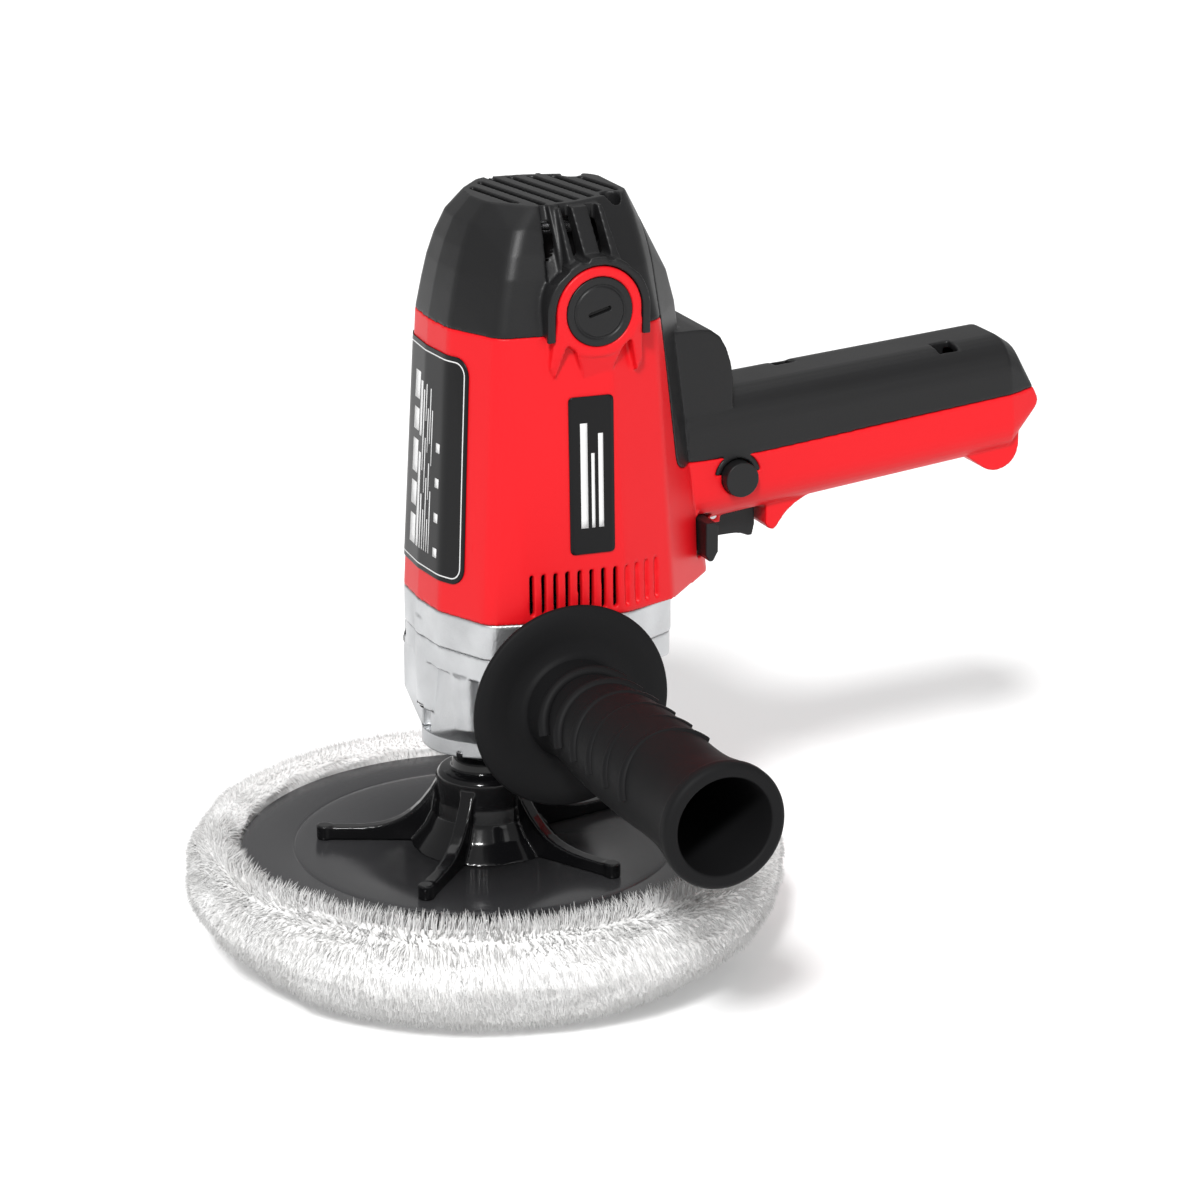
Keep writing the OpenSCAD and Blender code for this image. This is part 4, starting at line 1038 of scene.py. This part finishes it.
def screw_tree():
    tree, start, end = empty_tree("screw_heads", "GeometryNodeTree", [("Geometry", GEOMETRY),
        ("Head Radius", FLOAT), ("Head Height", FLOAT), ("Shank Radius", FLOAT),
        ("Shank Length", FLOAT)], [("Geometry", GEOMETRY)])
    head_r, head_h, shank_r, shank_l = (start.outputs[i] for i in range(1, 5))
    ball = node(tree, "GeometryNodeMeshUVSphere", None, Segments=28, Rings=14, Radius=head_r)
    flat = math_node(tree, "DIVIDE", head_h, head_r)
    dome = node(tree, "GeometryNodeTransform", None, Geometry=ball,
        Scale=xyz(tree, X=1.0, Y=1.0, Z=flat))
    lower = node(tree, "GeometryNodeMeshCube", None, Size=(0.02, 0.02, 0.02))
    lower = node(tree, "GeometryNodeTransform", None, Geometry=lower,
        Translation=(0.0, 0.0, -0.01))
    blade = node(tree, "GeometryNodeMeshCube", None, Size=xyz(tree,
        X=math_node(tree, "MULTIPLY", head_r, 1.15), Y=0.0007, Z=head_h))
    lift = xyz(tree, Z=head_h)
    blades = [node(tree, "GeometryNodeTransform", None, Geometry=blade, Translation=lift,
        Rotation=(0.0, 0.0, a)) for a in (0.0, math.pi / 2)]
    cross = node(tree, "GeometryNodeMeshBoolean", {"operation": "UNION", "solver": "EXACT"})
    for b in blades:
        tree.links.new(b.outputs[0], cross.inputs["Mesh 2"])
    cuts = joined(tree, cross, lower)
    cut = node(tree, "GeometryNodeMeshBoolean", {"operation": "DIFFERENCE", "solver": "EXACT"},
        _0=dome, _1=cuts)
    shank = node(tree, "GeometryNodeMeshCylinder", None, Vertices=20, Radius=shank_r,
        Depth=shank_l)
    drop = math_node(tree, "ADD", math_node(tree, "MULTIPLY", shank_l, -0.5), 0.0002)
    shank = node(tree, "GeometryNodeTransform", None, Geometry=shank,
        Translation=xyz(tree, Z=drop))
    screw = joined(tree, cut, shank)
    stand = node(tree, "FunctionNodeAlignRotationToVector", {"axis": "Z"},
        Vector=node(tree, "GeometryNodeInputNormal"))
    copies = node(tree, "GeometryNodeInstanceOnPoints", None, Points=start, Instance=screw,
        Rotation=stand)
    return close_tree(tree, end, copies, finishes["steel"])


def cad_islands(name):
    """Boxes of the separate solids of a CAD node, in millimetres."""
    tool = merged(nodes[name].data)
    left, found = set(tool.verts), []
    while left:
        stack, island = [left.pop()], []
        while stack:
            v = stack.pop()
            island.append(v.co / MM)
            for edge in v.link_edges:
                other = edge.other_vert(v)
                if other in left:
                    left.remove(other)
                    stack.append(other)
        low = Vector([min(p[i] for p in island) for i in range(3)])
        high = Vector([max(p[i] for p in island) for i in range(3)])
        found.append((low, high))
    tool.free()
    return sorted(found, key=lambda b: (round(b[0].x, 1), round(b[0].y, 1)))


screw_maker = screw_tree()


def screws(name, source, seats, out, head, height, shank, length):
    """Screws with their heads at the seats, pointing out along the given direction."""
    tiny = 0.02
    out = Vector(out)
    side = out.orthogonal().normalized() * tiny
    other = out.cross(side)
    points, faces = [], []
    for k, seat in enumerate(seats):
        points += [seat, seat + side, seat + other]
        faces.append((3 * k, 3 * k + 1, 3 * k + 2))
    guide = mesh_object(name, points, faces)
    tool = bmesh.new()
    tool.from_mesh(guide.data)
    tool.normal_update()
    for face in tool.faces:
        if face.normal.dot(out) < 0:
            face.normal_flip()
    tool.to_mesh(guide.data)
    tool.free()
    made = grown(name, screw_maker, guide, {"Head Radius": head * MM,
        "Head Height": height * MM, "Shank Radius": shank * MM, "Shank Length": length * MM})
    return settle(made, "housing", "steel", source)


# Name, node, way out, how deep the seat is, then the head's and the shank's radius and height
for name, source, out, deep, head, height, shank, length in (
        ("cap_screw_set", "cap_screws", 1, 1.7, 3.2, 1.7, 1.45, 11),
        ("cover_screw_set", "cover_screws", -1, 1.7, 3.0, 1.6, 1.45, 8),
        ("case_screw_set", "case_screws", -1, 2.7, 3.2, 2.5, 2.0, 25)):
    seats = [Vector(((a.x + b.x) / 2, (a.y + b.y) / 2, b.z - deep if out > 0 else a.z + deep))
        for a, b in cad_islands(source)]
    screws(name, source, seats, (0, 0, out), head, height, shank, length)

# %% [markdown]
# ## The pieces that keep their CAD shape
# Gears, shafts, bearings and the rest of the works are machined, so their CAD shape is already
# the true one. Each takes the finish of its slot, on its object's own material slot, and its
# mesh stays untouched.

# %% Dress the remaining nodes
slots = {part["node"]: part["material_slot"] for part in frame["record"]["subparts"]}
for name, obj in nodes.items():
    for place in () if obj.hide_render else obj.material_slots:
        place.link = "OBJECT"
        place.material = finishes[slots[name]]
print("kept from CAD:", sum(not o.hide_render for o in nodes.values()), "nodes")

# %% [markdown]
# ## Floor, light and camera
# The tool stands on a pale floor in a plain studio. The key is a far soft box, made as a sun lamp
# with a wide angle, so the floor keeps one tone and the shadow falls to the right and back. A
# weaker box fills from the front and one hangs above. The floor glows a little, as a lit light
# table does, which keeps it pale right to the top of the picture.

# %% Studio
def aimed(name, data, place, direction):
    """An object at a place that looks along a direction."""
    obj = link(bpy.data.objects.new(name, data))
    obj.location = place
    obj.rotation_euler = Vector(direction).to_track_quat("-Z", "Y").to_euler()
    return obj


HALF_FLOOR = 15000
floor = mesh_object("floor", [(-HALF_FLOOR, -HALF_FLOOR, 0), (HALF_FLOOR, -HALF_FLOOR, 0),
    (HALF_FLOOR, HALF_FLOOR, 0), (-HALF_FLOOR, HALF_FLOOR, 0)], [(0, 1, 2, 3)])
floor_paint = bpy.data.materials.new("floor_paint")
floor_paint.use_nodes = True
floor_shader = floor_paint.node_tree.nodes["Principled BSDF"].inputs
for key, value in {"Base Color": (0.9, 0.9, 0.9, 1), "Roughness": 0.9, "Specular IOR Level": 0.0,
        "Emission Color": (1, 1, 1, 1), "Emission Strength": 0.12}.items():
    floor_shader[key].default_value = value
floor.data.materials.append(floor_paint)

middle = (Vector(cad_box[0]) + Vector(cad_box[1])) / 2
key = bpy.data.lights.new("key", "SUN")
key.energy = 3.0
key.angle = math.radians(9)
aimed("key", key, (0, 0, 0), (0.65, 0.975, -1.05))
for name, place, wide, power in (("fill", (0.5, -2.2, 1.0), 1.3, 7),
        ("top", (0.1, 0.5, 2.3), 1.5, 10)):
    lamp = bpy.data.lights.new(name, "AREA")
    lamp.size = wide
    lamp.energy = power
    aimed(name, lamp, place, middle - Vector(place))
world = bpy.data.worlds.new("studio")
world.use_nodes = True
world.node_tree.nodes["Background"].inputs["Color"].default_value = (1, 1, 1, 1)
world.node_tree.nodes["Background"].inputs["Strength"].default_value = 0.46
bpy.context.scene.world = world
bpy.context.scene.view_settings.view_transform = "Standard"

# %% [markdown]
# The camera looks down on the tool from the front left with a long lens, which keeps the upright
# lines nearly parallel.

# %% Camera
VIEW_AZIMUTH, VIEW_ELEVATION, VIEW_DISTANCE = -24.0, 18.7, 1.47
azimuth, elevation = math.radians(VIEW_AZIMUTH), math.radians(VIEW_ELEVATION)
toward = Vector((math.sin(azimuth) * math.cos(elevation), -math.cos(azimuth) * math.cos(elevation),
    math.sin(elevation)))
aim_point = Vector((0.0467, 0.0, 0.1268))
lens = bpy.data.cameras.new("camera")
lens.lens = 120.2
lens.sensor_width = 36
bpy.context.scene.camera = aimed("camera", lens, aim_point + toward * VIEW_DISTANCE, -toward)
